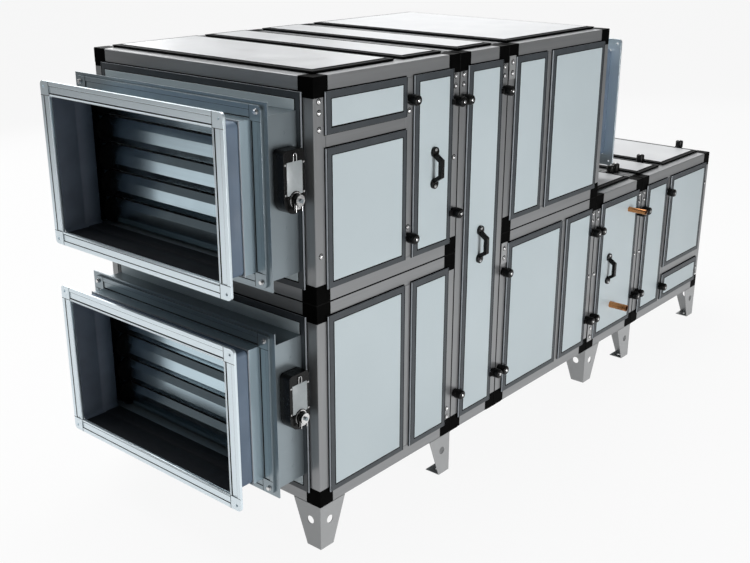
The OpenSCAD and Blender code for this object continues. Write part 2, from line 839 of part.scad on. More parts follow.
module door_handles() {
  exhaust_door = right_span(exhaust, x_intake_mullion);
  rotor_door = full_span(rotor);
  heater_door = full_span(heater);
  color(plastic) placed() {
    door_handle((exhaust_door[0] + exhaust_door[1]) / 2, z_duct_up - exhaust_handle_drop);
    door_handle(rotor_door[0] + rotor_handle_inset, z_mid);
    door_handle(heater_door[0] + heater_handle_inset, z_duct_low);
  }
}

// Clamp knob on a post, facing +Z, with a tongue that holds down a panel's rim at its side
module clamp_knob(side) {
  tongue = mullion_face / 2 + knob_r / 2;
  top = rim_proud + knob_h;
  rotate_extrude() polygon(concat([[0, 0], [knob_stem_r, 0], [knob_stem_r, rim_proud], [knob_r, rim_proud]],
    arc([knob_r - knob_round, top - knob_round], knob_round, 0, 90, 4), [[0, top]]));
  translate([side > 0 ? 0 : -tongue, -knob_r / 2, rim_proud]) cube([tongue, knob_r, knob_tongue_t]);
}

module front_knob(x, z, side) {
  translate([x, 0, z]) rotate([90, 0, 0]) clamp_knob(side);
}

module roof_knob(x, y, side) {
  translate([x, y, z_mid]) clamp_knob(side);
}

module clamp_knobs() {
  half = profile_face / 2;
  color(plastic) placed() {
    for (z = [z_mid + knob_inset, z_top - knob_inset]) front_knob(x_rotor - half, z, -1);
    for (z = [z_mid + mullion_knob_inset, z_top - mullion_knob_inset]) front_knob(x_intake_mullion, z, 1);
    for (z = [z_low + knob_inset, z_top - knob_inset]) {
      front_knob(x_rotor + half, z, 1);
      front_knob(x_fan - half, z, -1);
    }
    for (z = [z_low + knob_inset, z_mid - knob_inset]) {
      front_knob(x_fan + half, z, 1);
      front_knob(x_heater - half, z, -1);
      front_knob(x_heater + half, z, 1);
      front_knob(x_outlet - half, z, -1);
      front_knob(x_outlet + half, z, 1);
    }
    for (z = [z_low + mullion_knob_inset, z_mid - mullion_knob_inset]) front_knob(x_outlet_mullion, z, 1);
    for (y = [knob_inset, depth - knob_inset]) {
      roof_knob(x_outlet - half, y, -1);
      roof_knob(x_outlet + half, y, 1);
      roof_knob(x_outlet_mullion, y, 1);
      roof_knob(x_end - half, y, -1);
    }
  }
}

// Copper pipes through the heater door, each ending in a wider socket outside
module heater_pipes() {
  wall_depth = core_t + face_level;
  color(copper) placed()
    for (pipe = pipes)
      translate([pipe[0], core_t, pipe[1]]) rotate([90, 0, 0]) difference() {
        union() {
          cylinder(h = wall_depth + cut, r = pipe[2] - pipe_wall);
          translate([0, 0, wall_depth]) cylinder(h = pipe_out, r = pipe[2]);
        }
        translate([0, 0, -cut]) cylinder(h = wall_depth + 2 * cut, r = pipe[2] - 2 * pipe_wall);
        translate([0, 0, wall_depth + cut]) cylinder(h = pipe_out, r = pipe[2] - pipe_wall);
      }
}

// Plates on the posts beside a seam, each over the end of a corner block's arm
module joining_plates() {
  post = (profile_face - plate_w) / 2;
  drop = plate_inset + plate_h;
  places = [[x_fan, z_top - drop], [x_fan, z_mid - drop], [x_heater, z_low + plate_inset]];
  color(zinc) placed()
    for (place = places)
      translate([place[0] + post, -plate_t, place[1]]) cube([plate_w, plate_t, plate_h]);
}

section_frame(intake);  // intake_frame
section_frame(exhaust);  // exhaust_frame
section_frame(rotor);  // rotor_frame
section_frame(fan);  // fan_frame
section_frame(extract);  // extract_frame
section_frame(heater);  // heater_frame
section_frame(outlet);  // outlet_frame
section_corners(intake);  // intake_corners
section_corners(exhaust);  // exhaust_corners
section_corners(rotor);  // rotor_corners
section_corners(fan);  // fan_corners
section_corners(extract);  // extract_corners
section_corners(heater);  // heater_corners
section_corners(outlet);  // outlet_corners
mullions();
cross_bars();
intake_panels();
exhaust_panels();
rotor_panels();
fan_panels();
extract_panels();
heater_panels();
outlet_panels();
deck_panels();
duct_end_panels();
damper_casings();
duct_collars();
damper_rails();
damper_rail_corners();
connector_strips();
connector_sleeves();
duct_rails();
duct_rail_corners();
intake_blade(1);  // intake_blade_1
intake_blade(2);  // intake_blade_2
intake_blade(3);  // intake_blade_3
intake_blade(4);  // intake_blade_4
intake_blade(5);  // intake_blade_5
exhaust_blade(1);  // exhaust_blade_1
exhaust_blade(2);  // exhaust_blade_2
exhaust_blade(3);  // exhaust_blade_3
exhaust_blade(4);  // exhaust_blade_4
exhaust_blade(5);  // exhaust_blade_5
intake_shaft_clamp();
exhaust_shaft_clamp();
actuators();
feet();
door_handles();
clamp_knobs();
heater_pipes();
joining_plates();
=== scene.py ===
# %% [markdown]
# # An air handling unit, dressed step by step
# The solids of this unit come from CAD with their true sizes. This lesson gives each of them its finish,
# adds the small things that a fitter adds last, such as screws, bolts and cloth, and sets up a studio
# around the unit.

# %% Load the unit
from math import cos, pi, sin, tau

import bmesh
import bpy
from mathutils import Matrix, Vector, noise


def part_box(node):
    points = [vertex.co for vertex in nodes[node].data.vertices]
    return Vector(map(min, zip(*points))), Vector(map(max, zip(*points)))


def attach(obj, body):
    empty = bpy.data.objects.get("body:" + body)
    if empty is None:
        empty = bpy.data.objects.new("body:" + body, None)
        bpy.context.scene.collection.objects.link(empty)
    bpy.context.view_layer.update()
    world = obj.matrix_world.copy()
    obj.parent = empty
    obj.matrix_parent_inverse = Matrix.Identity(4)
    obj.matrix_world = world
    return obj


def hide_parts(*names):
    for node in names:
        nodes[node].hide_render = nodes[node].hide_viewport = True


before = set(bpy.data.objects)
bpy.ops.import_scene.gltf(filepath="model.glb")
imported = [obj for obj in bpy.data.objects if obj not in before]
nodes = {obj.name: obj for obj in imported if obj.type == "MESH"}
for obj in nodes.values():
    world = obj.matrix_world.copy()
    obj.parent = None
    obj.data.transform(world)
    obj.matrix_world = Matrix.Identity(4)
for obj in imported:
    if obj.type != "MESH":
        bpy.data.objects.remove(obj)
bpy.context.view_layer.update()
mm = 0.001

# %% [markdown]
# The unit is made of seven framed sections. Almost everything that follows is placed from their boxes, so
# they are read once here and kept by name. Reading them from the frame keeps the scene true if the CAD
# sizes change.

# %% Section boxes
sections = ("intake", "exhaust", "rotor", "fan", "extract", "heater", "outlet")
section_box = {name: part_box(f"{name}_frame") for name in sections}
front_y = section_box["intake"][0].y
back_y = section_box["intake"][1].y
tier_seam = section_box["intake"][1].z
for name, (low, high) in section_box.items():
    print(name, [round(v, 3) for v in high - low])

# %% [markdown]
# The camera stands a little above the unit, off its damper end, as in the photograph. Its place and its
# two directions were found by matching the corners of the frame, so they are written down instead of
# tracked to a target.

# %% Camera
camera_place = Vector((-3.4465, -2.4765, 1.9579))
camera_look = Vector((0.71771712, 0.61021502, -0.33543968))
camera_right = Vector((0.64837538, -0.76131723, 0.00233395))
camera_up = camera_right.cross(camera_look)

camera_data = bpy.data.cameras.new("studio_camera")
camera_data.lens = 50.25
camera_data.sensor_width = 36
camera = bpy.data.objects.new("studio_camera", camera_data)
turn = Matrix((camera_right, camera_up, -camera_look)).transposed().to_4x4()
camera.matrix_world = Matrix.Translation(camera_place) @ turn
bpy.context.scene.collection.objects.link(camera)
bpy.context.scene.camera = camera
bpy.context.scene.view_settings.view_transform = "Standard"

# %% [markdown]
# A catalogue photograph has a white surround. The world is white where the camera looks straight at it
# and much weaker for the light that it casts, so metal that faces the sky stays dark and metal that faces
# the floor is bright.

# %% World
def is_ray(tree, *kinds):
    """A factor that is 1 for any of the given kinds of ray."""
    path = tree.nodes.new("ShaderNodeLightPath")
    factor = path.outputs[f"Is {kinds[0]} Ray"]
    for kind in kinds[1:]:
        either = tree.nodes.new("ShaderNodeMath")
        either.operation = "MAXIMUM"
        tree.links.new(factor, either.inputs[0])
        tree.links.new(path.outputs[f"Is {kind} Ray"], either.inputs[1])
        factor = either.outputs[0]
    return factor


world = bpy.data.worlds.new("studio_world")
world.use_nodes = True
bpy.context.scene.world = world
sky = world.node_tree
cast = sky.nodes["Background"]
cast.inputs["Color"].default_value = (0.96, 0.98, 1.0, 1)
cast.inputs["Strength"].default_value = 0.12
shown = sky.nodes.new("ShaderNodeBackground")
shown.inputs["Color"].default_value = (1, 1, 1, 1)
shown.inputs["Strength"].default_value = 1.0
blend = sky.nodes.new("ShaderNodeMixShader")
sky.links.new(is_ray(sky, "Camera", "Transmission"), blend.inputs["Fac"])
sky.links.new(cast.outputs[0], blend.inputs[1])
sky.links.new(shown.outputs[0], blend.inputs[2])
sky.links.new(blend.outputs[0], sky.nodes["World Output"].inputs["Surface"])
print("world made")

# %% [markdown]
# The floor is one large white sheet. Seen directly it glows most of the way to white, and the rest of its
# shading is real, so a soft shadow stays under the feet. In the metal's reflections it glows as a long
# bright oval that falls off with distance, a painted pool of light like that of a floor under softboxes,
# and this painted reflection shades the long bars from end to end.

# %% Floor
def new_range(tree, from_low, from_high, to_low, to_high):
    """A node that maps one range of values to another."""
    span = tree.nodes.new("ShaderNodeMapRange")
    values = {"From Min": from_low, "From Max": from_high, "To Min": to_low, "To Max": to_high}
    for socket, value in values.items():
        span.inputs[socket].default_value = value
    return span


floor_half = 30
floor_mesh = bpy.data.meshes.new("studio_floor")
floor_mesh.from_pydata([(-floor_half, -floor_half, 0), (floor_half, -floor_half, 0),
                        (floor_half, floor_half, 0), (-floor_half, floor_half, 0)], [], [(0, 1, 2, 3)])
floor = bpy.data.objects.new("studio_floor", floor_mesh)
bpy.context.scene.collection.objects.link(floor)
floor_paper = bpy.data.materials.new("floor_paper")
floor_paper.use_nodes = True
paper = floor_paper.node_tree
plain_paper = paper.nodes["Principled BSDF"]
plain_paper.inputs["Base Color"].default_value = (0.7, 0.7, 0.7, 1)
plain_paper.inputs["Roughness"].default_value = 0.9
glow = paper.nodes.new("ShaderNodeEmission")
floor_place = paper.nodes.new("ShaderNodeTexCoord")
from_middle = paper.nodes.new("ShaderNodeVectorMath")
from_middle.operation = "LENGTH"
oval = paper.nodes.new("ShaderNodeMapping")
pool_squeeze = (0.5, 1, 1)
pool_middle_shift = (0.5, -1.3, 0)
oval.inputs["Scale"].default_value = pool_squeeze
oval.inputs["Location"].default_value = pool_middle_shift
paper.links.new(floor_place.outputs["Object"], oval.inputs["Vector"])
paper.links.new(oval.outputs["Vector"], from_middle.inputs[0])
# Painted light: for reflections the floor glows as an oval pool that fades from full to a quarter strength.
bright_to, dim_from, dim_level = 3.0, 5.2, 0.25
painted_light_pool = new_range(paper, bright_to, dim_from, 1.0, dim_level)
paper.links.new(from_middle.outputs["Value"], painted_light_pool.inputs["Value"])
brightness = paper.nodes.new("ShaderNodeMath")
brightness.operation = "MAXIMUM"
paper.links.new(is_ray(paper, "Camera", "Transmission"), brightness.inputs[0])
paper.links.new(painted_light_pool.outputs["Result"], brightness.inputs[1])
paper.links.new(brightness.outputs[0], glow.inputs["Strength"])
glow_share = 0.92
share = paper.nodes.new("ShaderNodeMath")
share.operation = "MULTIPLY"
share.inputs[1].default_value = glow_share
paper.links.new(is_ray(paper, "Camera", "Glossy", "Transmission"), share.inputs[0])
mix = paper.nodes.new("ShaderNodeMixShader")
paper.links.new(share.outputs[0], mix.inputs["Fac"])
paper.links.new(plain_paper.outputs[0], mix.inputs[1])
paper.links.new(glow.outputs[0], mix.inputs[2])
paper.links.new(mix.outputs[0], paper.nodes["Material Output"].inputs["Surface"])
floor_mesh.materials.append(floor_paper)
print("floor made")

# %% [markdown]
# Five softboxes light the unit: a large one overhead for the pale roof, one in front of the service side,
# one behind, and weaker ones off the two ends. The damper end stays the darkest, which lets its open
# ducts look deep.

# %% Softboxes
def softbox(name, place, target, width, height, watts):
    lamp = bpy.data.lights.new(name, "AREA")
    lamp.shape = "RECTANGLE"
    lamp.size = width
    lamp.size_y = height
    lamp.energy = watts
    holder = bpy.data.objects.new(name, lamp)
    away = Vector(place) - Vector(target)
    holder.matrix_world = Matrix.Translation(place) @ away.to_track_quat("Z", "Y").to_matrix().to_4x4()
    bpy.context.scene.collection.objects.link(holder)
    return holder


softbox("overhead_softbox", (0.2, 1.6, 4.6), (0, 0.1, 1.2), 7, 3.8, 285)
softbox("service_softbox", (-0.7, -5.0, 0.7), (-0.5, 0, 0.6), 1.6, 1.4, 122)
softbox("damper_softbox", (-6.0, -3.2, 0.8), (-1.3, 0, 0.8), 3, 1.6, 22)
softbox("outlet_softbox", (6.5, 3.3, 2.5), (1.3, 0, 0.8), 5, 3, 52)
softbox("back_softbox", (0.6, 6.0, 2.4), (0, 0, 0.7), 5, 3, 120)
print("five softboxes")

# %% [markdown]
# Every finish below is made of shader nodes. These helpers keep the recipes short: a field is a noise
# pattern in the unit's own metres, and it can tint the colour, change the shine or raise a fine relief. A
# stretched field gives the drawn lines of extruded or brushed metal.

# %% Finish helpers
def shader_of(finish):
    return finish.node_tree.nodes["Principled BSDF"]


def new_finish(name, colour, roughness, metallic=0.0):
    finish = bpy.data.materials.new(name)
    finish.use_nodes = True
    shader = shader_of(finish)
    shader.inputs["Base Color"].default_value = (*colour, 1)
    shader.inputs["Roughness"].default_value = roughness
    shader.inputs["Metallic"].default_value = metallic
    finish.diffuse_color = (*colour, 1)
    return finish


def field(finish, per_metre, stretch=(1, 1, 1), detail=3.0, shift=0.0):
    tree = finish.node_tree
    place = tree.nodes.new("ShaderNodeTexCoord")
    ruler = tree.nodes.new("ShaderNodeMapping")
    ruler.inputs["Scale"].default_value = stretch
    ruler.inputs["Location"].default_value = (shift, shift, shift)
    cloud = tree.nodes.new("ShaderNodeTexNoise")
    cloud.inputs["Scale"].default_value = per_metre
    cloud.inputs["Detail"].default_value = detail
    tree.links.new(place.outputs["Object"], ruler.inputs["Vector"])
    tree.links.new(ruler.outputs["Vector"], cloud.inputs["Vector"])
    return cloud.outputs["Fac"]


def tint(finish, pattern, dark, light, low=0.35, high=0.65):
    tree = finish.node_tree
    ramp = tree.nodes.new("ShaderNodeValToRGB")
    ramp.color_ramp.elements[0].position = low
    ramp.color_ramp.elements[0].color = (*dark, 1)
    ramp.color_ramp.elements[1].position = high
    ramp.color_ramp.elements[1].color = (*light, 1)
    tree.links.new(pattern, ramp.inputs["Fac"])
    tree.links.new(ramp.outputs["Color"], shader_of(finish).inputs["Base Color"])


def shine(finish, pattern, smooth, rough):
    tree = finish.node_tree
    span = new_range(tree, 0.3, 0.7, smooth, rough)
    tree.links.new(pattern, span.inputs["Value"])
    tree.links.new(span.outputs["Result"], shader_of(finish).inputs["Roughness"])


def relief(finish, pattern, height, strength=1.0):
    tree = finish.node_tree
    bump = tree.nodes.new("ShaderNodeBump")
    bump.inputs["Strength"].default_value = strength
    bump.inputs["Distance"].default_value = height
    shader = shader_of(finish)
    earlier = shader.inputs["Normal"].links
    if earlier:
        tree.links.new(earlier[0].from_socket, bump.inputs["Normal"])
    tree.links.new(pattern, bump.inputs["Height"])
    tree.links.new(bump.outputs["Normal"], shader.inputs["Normal"])


def dull(finish, index=1.05):
    """Lowers the refractive index, so that a grainy black stays black at a glancing view."""
    shader_of(finish).inputs["IOR"].default_value = index


def shade(grey, warm=0.0):
    """A grey, a little warmer or cooler."""
    return (grey * (1 + warm), grey, grey * (1 - warm))


def cool_metal(grey, cool):
    """The slightly green-blue grey of zinc and bare aluminium."""
    return (grey * (1 - 1.8 * cool), grey, grey * (1 + cool))


print("finish helpers ready")

# %% [markdown]
# The frame is anodised aluminium extrusion. Its lines run along each bar, so there are three versions of
# the same finish, one for each direction, and every face of a bar gets the one that follows its length.

# %% Frame aluminium
def anodised(axis):
    finish = new_finish(f"anodised_{'xyz'[axis]}", shade(0.3, -0.02), 0.34, 0.6)
    drawn = [10.0, 10.0, 10.0]
    drawn[axis] = 0.4
    lines = field(finish, 6, drawn, 2)
    tint(finish, lines, shade(0.288, -0.02), shade(0.312, -0.02))
    shine(finish, field(finish, 5, detail=1, shift=3), 0.31, 0.37)
    relief(finish, lines, 0.02 * mm, 0.3)
    return finish


anodised_bars = [anodised(axis) for axis in range(3)]


def longest_axis(mesh, polygon):
    points = [mesh.vertices[i].co for i in polygon.vertices]
    spans = [max(p[a] for p in points) - min(p[a] for p in points) for a in range(3)]
    return spans.index(max(spans))


def dress(node, finishes, choose=None):
    """Gives a CAD node its finishes; choose picks one of them for each face."""
    mesh = nodes[node].data
    mesh.materials.clear()
    for finish in finishes:
        mesh.materials.append(finish)
    for polygon in mesh.polygons:
        polygon.material_index = choose(mesh, polygon) if choose else 0


bar_nodes = [f"{name}_frame" for name in sections] + ["mullions", "cross_bars"]
for node in bar_nodes:
    dress(node, anodised_bars, longest_axis)
print(len(bar_nodes), "sets of bars anodised")

# %% [markdown]
# Sharp CAD edges catch no light. A narrow bevel with weighted normals gives them the thin bright line of
# a real edge. The CAD mesh comes as triangles with split corners, so a weld goes first and flat triangles
# are merged, or long thin ones would show as scratches beside the bevel. All four are modifiers, and the
# mesh stays.

# %% Soft edges
def soften(node, width, rows=2):
    piece = nodes[node]
    weld = piece.modifiers.new("weld", "WELD")
    weld.merge_threshold = 0.01 * mm
    merge = piece.modifiers.new("flat_faces", "DECIMATE")
    merge.decimate_type = "DISSOLVE"
    merge.angle_limit = 0.01
    merge.delimit = {"MATERIAL"}
    bevel = piece.modifiers.new("soft_edge", "BEVEL")
    bevel.width = width
    bevel.segments = rows
    bevel.limit_method = "ANGLE"
    bevel.angle_limit = 0.7
    bevel.use_clamp_overlap = True
    weigh = piece.modifiers.new("even_shading", "WEIGHTED_NORMAL")
    weigh.keep_sharp = False


print("edges can be softened")

# %% [markdown]
# The corner blocks are glass-filled nylon: nearly black, with a fine moulded grain and a dull sheen.

# %% Corner blocks
nylon = new_finish("black_nylon", shade(0.0025), 0.45)
dull(nylon)
nylon_grain = field(nylon, 900, detail=2)
tint(nylon, field(nylon, 14), shade(0.002), shade(0.0032))
shine(nylon, nylon_grain, 0.34, 0.48)
relief(nylon, nylon_grain, 0.08 * mm, 0.3)
for name in sections:
    dress(f"{name}_corners", [nylon])
print("corner blocks dressed")

# %% [markdown]
# A panel has four visible layers: a coated steel face, a dark rim, the bright cut edge of that rim and a
# black gasket under it. All four are in the CAD mesh, and each is known by how far it stands off the
# frame, so the finishes are chosen face by face from that distance. The roof has a more neutral sheet,
# and its rims and their cut edges are almost black, a painted shade far darker than the same rims on the
# sides.

# %% Panel finishes
def coated_sheet(name, colour):
    finish = new_finish(name, colour, 0.36)
    tint(finish, field(finish, 1.6, detail=2), [v - 0.02 for v in colour], [v + 0.02 for v in colour])
    shine(finish, field(finish, 9, shift=1), 0.3, 0.42)
    relief(finish, field(finish, 420, detail=1, shift=2), 0.03 * mm, 0.3)
    return finish


coated = coated_sheet("coated_sheet", (0.555, 0.634, 0.664))
roof_sheet = coated_sheet("roof_sheet", (0.59, 0.6, 0.61))

rim_grey = new_finish("rim_grey", shade(0.05, -0.16), 0.42)
tint(rim_grey, field(rim_grey, 26), shade(0.046, -0.16), shade(0.055, -0.16))
shine(rim_grey, field(rim_grey, 60, shift=1), 0.38, 0.48)
relief(rim_grey, field(rim_grey, 500, detail=1), 0.04 * mm, 0.2)

# Painted shade: the roof's rims and rim edges are almost black, far darker than the rims on the sides.
shaded_roof_rim = new_finish("shaded_roof_rim", shade(0.01, -0.05), 0.5)
dull(shaded_roof_rim, 1.1)
tint(shaded_roof_rim, field(shaded_roof_rim, 26), shade(0.008, -0.05), shade(0.013, -0.05))
relief(shaded_roof_rim, field(shaded_roof_rim, 500, detail=1), 0.04 * mm, 0.2)

cut_edge = new_finish("bright_cut_edge", shade(0.36, -0.08), 0.5, 0.1)
tint(cut_edge, field(cut_edge, 40), shade(0.34, -0.08), shade(0.38, -0.08))
shine(cut_edge, field(cut_edge, 80, shift=1), 0.46, 0.54)

# This black serves the real gaskets and seam cords, and also the painted shadow lines and washer rings laid
# below.
gasket = new_finish("black_gasket_and_shadow", shade(0.008), 0.7)
dull(gasket)
tint(gasket, field(gasket, 300), shade(0.005), shade(0.012))
relief(gasket, field(gasket, 1500), 0.1 * mm, 0.4)

panel_layers = [coated, rim_grey, cut_edge, gasket, shaded_roof_rim, roof_sheet]
FACE, RIM, EDGE, GASKET, SHADED_ROOF_RIM, ROOF_FACE = range(6)
roof_version = {FACE: ROOF_FACE, RIM: SHADED_ROOF_RIM, EDGE: SHADED_ROOF_RIM, GASKET: GASKET}
print("panel layers:", [layer.name for layer in panel_layers])

# %% [markdown]
# The frame's box is the reference surface: a face that lies further out than the rim is the sheet, one at
# rim level is the rim, and so on inwards. Measuring the distance is safer than counting faces, because it
# still holds when a panel changes its size.

# %% Panels by their layers
face_from, rim_from, edge_from, gasket_from = 8.2 * mm, 7.8 * mm, 4.2 * mm, -1 * mm


def stand_off(point, box):
    low, high = box
    return max(max(low[a] - point[a], point[a] - high[a]) for a in range(3))


def layer_at(distance):
    if distance > face_from:
        return FACE
    if distance > rim_from:
        return RIM
    if distance > edge_from:
        return EDGE
    return GASKET if distance > gasket_from else FACE


def section_layer(name):
    def choose(mesh, polygon):
        layer = layer_at(stand_off(polygon.center, section_box[name]))
        on_roof = polygon.center.z > section_box[name][1].z
        return roof_version[layer] if on_roof else layer
    return choose


def end_section(place):
    """The section at the damper end or the far end that a place belongs to."""
    upper = place.z > tier_seam
    return ("exhaust" if upper else "intake") if place.x < 0 else ("extract" if upper else "outlet")


def end_layer(mesh, polygon):
    return layer_at(stand_off(polygon.center, section_box[end_section(polygon.center)]))


for name in sections:
    dress(f"{name}_panels", panel_layers, section_layer(name))
dress("duct_end_panels", panel_layers, end_layer)
dress("deck_panels", [coated])
print("panels dressed on", len(sections) + 2, "nodes")

# %% [markdown]
# Casings, collars and strips are galvanised sheet, a cool grey metal that is nearly smooth. A wide cloudy
# change of tone and a fainter, finer mottle for the zinc grains are enough, and the shine follows the
# clouds. The inside of a damper casing is dusty and no longer shines.

# %% Galvanised sheet
def galvanised(name, grey, metallic, cool=0.1, spread=0.012):
    finish = new_finish(name, cool_metal(grey, cool), 0.3, metallic)
    tree = finish.node_tree
    cloud = field(finish, 2.5, detail=1)
    both = tree.nodes.new("ShaderNodeMix")
    both.inputs["Factor"].default_value = 0.2
    tree.links.new(cloud, both.inputs["A"])
    tree.links.new(field(finish, 38, detail=1, shift=4), both.inputs["B"])
    tint(finish, both.outputs["Result"], cool_metal(grey - spread, cool),
         cool_metal(grey + spread, cool))
    shine(finish, cloud, 0.29, 0.33)
    return finish


zinc_sheet = galvanised("galvanised_sheet", 0.34, 0.85, 0.08)
zinc_strip = galvanised("galvanised_strip", 0.6, 0.8)
zinc_rail = galvanised("galvanised_rail", 0.88, 0.75, 0.06)
zinc_foot = galvanised("galvanised_foot", 0.4, 0.4, 0.01)
zinc_inside = galvanised("dusty_zinc", 0.3, 0.1)
casing_low, casing_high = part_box("damper_casings")


def casing_side(mesh, polygon):
    """Faces that look towards the middle of their duct are the dusty inside."""
    low, high = section_box[end_section(polygon.center)]
    middle_y, middle_z = (casing_low.y + casing_high.y) / 2, (low.z + high.z) / 2
    outwards = Vector((0, polygon.center.y - middle_y, polygon.center.z - middle_z))
    return 1 if polygon.normal.dot(outwards.normalized()) < -0.3 else 0


dress("damper_casings", [zinc_sheet, zinc_inside], casing_side)
# The back flange's corner pieces share the darker casing zinc, a painted shade.
for node in ("duct_collars", "damper_rail_corners"):
    dress(node, [zinc_sheet])
dress("connector_strips", [zinc_strip])
dress("duct_rail_corners", [zinc_rail])
for node in ("feet", "joining_plates"):
    dress(node, [zinc_foot])
print("galvanised pieces dressed")

# %% [markdown]
# A flange rail is rolled with a raised outer band, a flat and a narrow groove before its inner lip.
# The groove and the wall at the foot of the band get their own dark finish, a painted shade for the
# shadow in these narrow recesses.

# %% Flange rails
mastic_and_shade = new_finish("dark_mastic_and_shade", shade(0.02), 0.6)
tint(mastic_and_shade, field(mastic_and_shade, 120), shade(0.014), shade(0.032))
relief(mastic_and_shade, field(mastic_and_shade, 400), 0.2 * mm, 0.4)
groove_depth, close = 5 * mm, 0.3 * mm


# Painted shade: faces on the groove's bed and on the band's foot wall are picked for the dark finish.
def rail_layer(node):
    low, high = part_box(node)
    reach = section_box["intake"][0].x - low.x
    faces = (low.x, section_box["extract"][1].x + reach, high.x)

    def choose(mesh, polygon):
        depths = [min(abs(mesh.vertices[i].co.x - face) for face in faces) for i in polygon.vertices]
        across = abs(polygon.normal.x) > 0.9
        in_groove = across and abs(max(depths) - groove_depth) < close
        on_wall = not across and close < max(depths) < groove_depth + close
        return 1 if in_groove or on_wall else 0
    return choose


# The back flange's rails get the darker casing zinc instead of the bright rail zinc, a painted shade for the
# flange behind the sleeve.
for node, zinc in (("damper_rails", zinc_sheet), ("duct_rails", zinc_rail)):
    dress(node, [zinc, mastic_and_shade], rail_layer(node))
print("rails dressed")

# %% [markdown]
# A damper blade is an extruded aluminium wing with rubber along both edges and a black moulded gear at
# its far end. The three are one CAD solid, so its faces are told apart by place: the gear lies beyond the
# wing's end, and the rubber lies where the wing is thinnest. The stubs of the shafts outside the casing
# are as dull as the casing.

# %% Damper blades
wing = new_finish("extruded_wing", cool_metal(0.62, 0.11), 0.22, 1.0)
wing_lines = field(wing, 5, (14, 0.5, 14), 2)
tint(wing, wing_lines, cool_metal(0.6, 0.11), cool_metal(0.64, 0.11))
shine(wing, field(wing, 8, shift=2), 0.19, 0.25)
relief(wing, wing_lines, 0.02 * mm, 0.3)

rubber = new_finish("edge_rubber", shade(0.01), 0.65)
tint(rubber, field(rubber, 200), shade(0.007), shade(0.014))
relief(rubber, field(rubber, 900), 0.08 * mm, 0.4)

gear_black = new_finish("gear_plastic", shade(0.003), 0.5)
dull(gear_black)
tint(gear_black, field(gear_black, 60), shade(0.002), shade(0.004))
shine(gear_black, field(gear_black, 700), 0.38, 0.54)

blade_names = [f"{duct}_blade_{i}" for duct in ("intake", "exhaust") for i in range(1, 6)]
gear_width = 12 * mm
gear_wall_gap = 5 * mm
casing_wall = 3 * mm
gear_near_end = casing_high.y - casing_wall - gear_wall_gap - gear_width
shaft_radius = 6.2 * mm
blade_finishes = [wing, rubber, gear_black, zinc_sheet]
WING, RUBBER, GEAR, STUB = range(4)


def blade_part(node):
    low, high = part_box(node)
    axis_z = (low.z + high.z) / 2
    edge_start = 40 * mm

    def choose(mesh, polygon):
        centre = polygon.center
        if centre.y < casing_low.y + casing_wall:
            return STUB
        off_shaft = abs(centre.z - axis_z) > shaft_radius or polygon.normal.y
        if centre.y > gear_near_end - 0.1 * mm and off_shaft:
            return GEAR
        return RUBBER if abs(centre.z - axis_z) > edge_start else WING
    return choose


for node in blade_names:
    dress(node, blade_finishes, blade_part(node))
print(len(blade_names), "blades dressed")

# %% [markdown]
# The actuators, handles and knobs are moulded black plastic. The shaft clamps are blackened steel with
# bright ends, and the heater's pipe ends are drawn copper with faint lines along the tube.

# %% Fittings
moulded = new_finish("moulded_black", shade(0.006), 0.36)
dull(moulded, 1.3)
moulded_grain = field(moulded, 1200, detail=1)
tint(moulded, field(moulded, 18), shade(0.003), shade(0.005))
shine(moulded, field(moulded, 30, shift=1), 0.22, 0.32)
relief(moulded, moulded_grain, 0.05 * mm, 0.35)

plated = new_finish("plated_steel", shade(0.7), 0.26, 1.0)
tint(plated, field(plated, 90), shade(0.6), shade(0.8))
shine(plated, field(plated, 160, shift=1), 0.16, 0.36)

copper = new_finish("drawn_copper", (0.56, 0.25, 0.1), 0.28, 1.0)
copper_lines = field(copper, 20, (10, 0.8, 10), 4)
tint(copper, copper_lines, (0.5, 0.21, 0.08), (0.62, 0.29, 0.12))
shine(copper, field(copper, 60), 0.24, 0.32)


def clamp_face(mesh, polygon):
    """The ends of a clamp are bright, its turned sides blackened."""
    return 0 if polygon.normal.y < -0.9 else 1


for node in ("actuators", "door_handles", "clamp_knobs"):
    dress(node, [moulded])
for node in ("intake_shaft_clamp", "exhaust_shaft_clamp"):
    dress(node, [plated, moulded], clamp_face)
dress("heater_pipes", [copper])
print("fittings dressed")

# %% [markdown]
# Each kind of piece has its own edge: sheet metal is folded or sheared and keeps a crisp edge of about a
# millimetre or less, and moulded plastic is rounder. The widths follow that, and the two largest
# mouldings get a third row.

# %% Softened nodes
edge_width = {"duct_end_panels": 0.7, "damper_casings": 1.2, "duct_collars": 1.0, "connector_strips": 0.6,
              "duct_rails": 0.6, "damper_rails": 0.6, "duct_rail_corners": 0.8, "damper_rail_corners": 0.8,
              "clamp_knobs": 0.8, "feet": 0.6}
for name in sections:
    soften(f"{name}_panels", 0.7 * mm)
    soften(f"{name}_corners", 1.0 * mm)
for node, width in edge_width.items():
    soften(node, width * mm)
soften("actuators", 2.5 * mm, 3)
soften("door_handles", 2.2 * mm, 3)
print("edges softened")

# %% [markdown]
# Screws and bolts are turned shapes: a short list of radius and height is spun round an axis. One mesh
# holds every copy of a kind, which keeps the scene light and lets the whole kind share one finish.

# %% Turned shapes
def turn_profile(bm, profile, sides, place):
    rings = []
    for radius, height in profile:
        count = sides if radius > 0 else 1
        angles = [tau * i / sides for i in range(count)]
        points = [Vector((radius * cos(a), radius * sin(a), height)) for a in angles]
        rings.append([bm.verts.new(place @ point) for point in points])
    for lower, upper in zip(rings, rings[1:]):
        for i in range(sides):
            corners = (lower[i % len(lower)], lower[(i + 1) % len(lower)],
                       upper[(i + 1) % len(upper)], upper[i % len(upper)])
            bm.faces.new(list(dict.fromkeys(corners)))


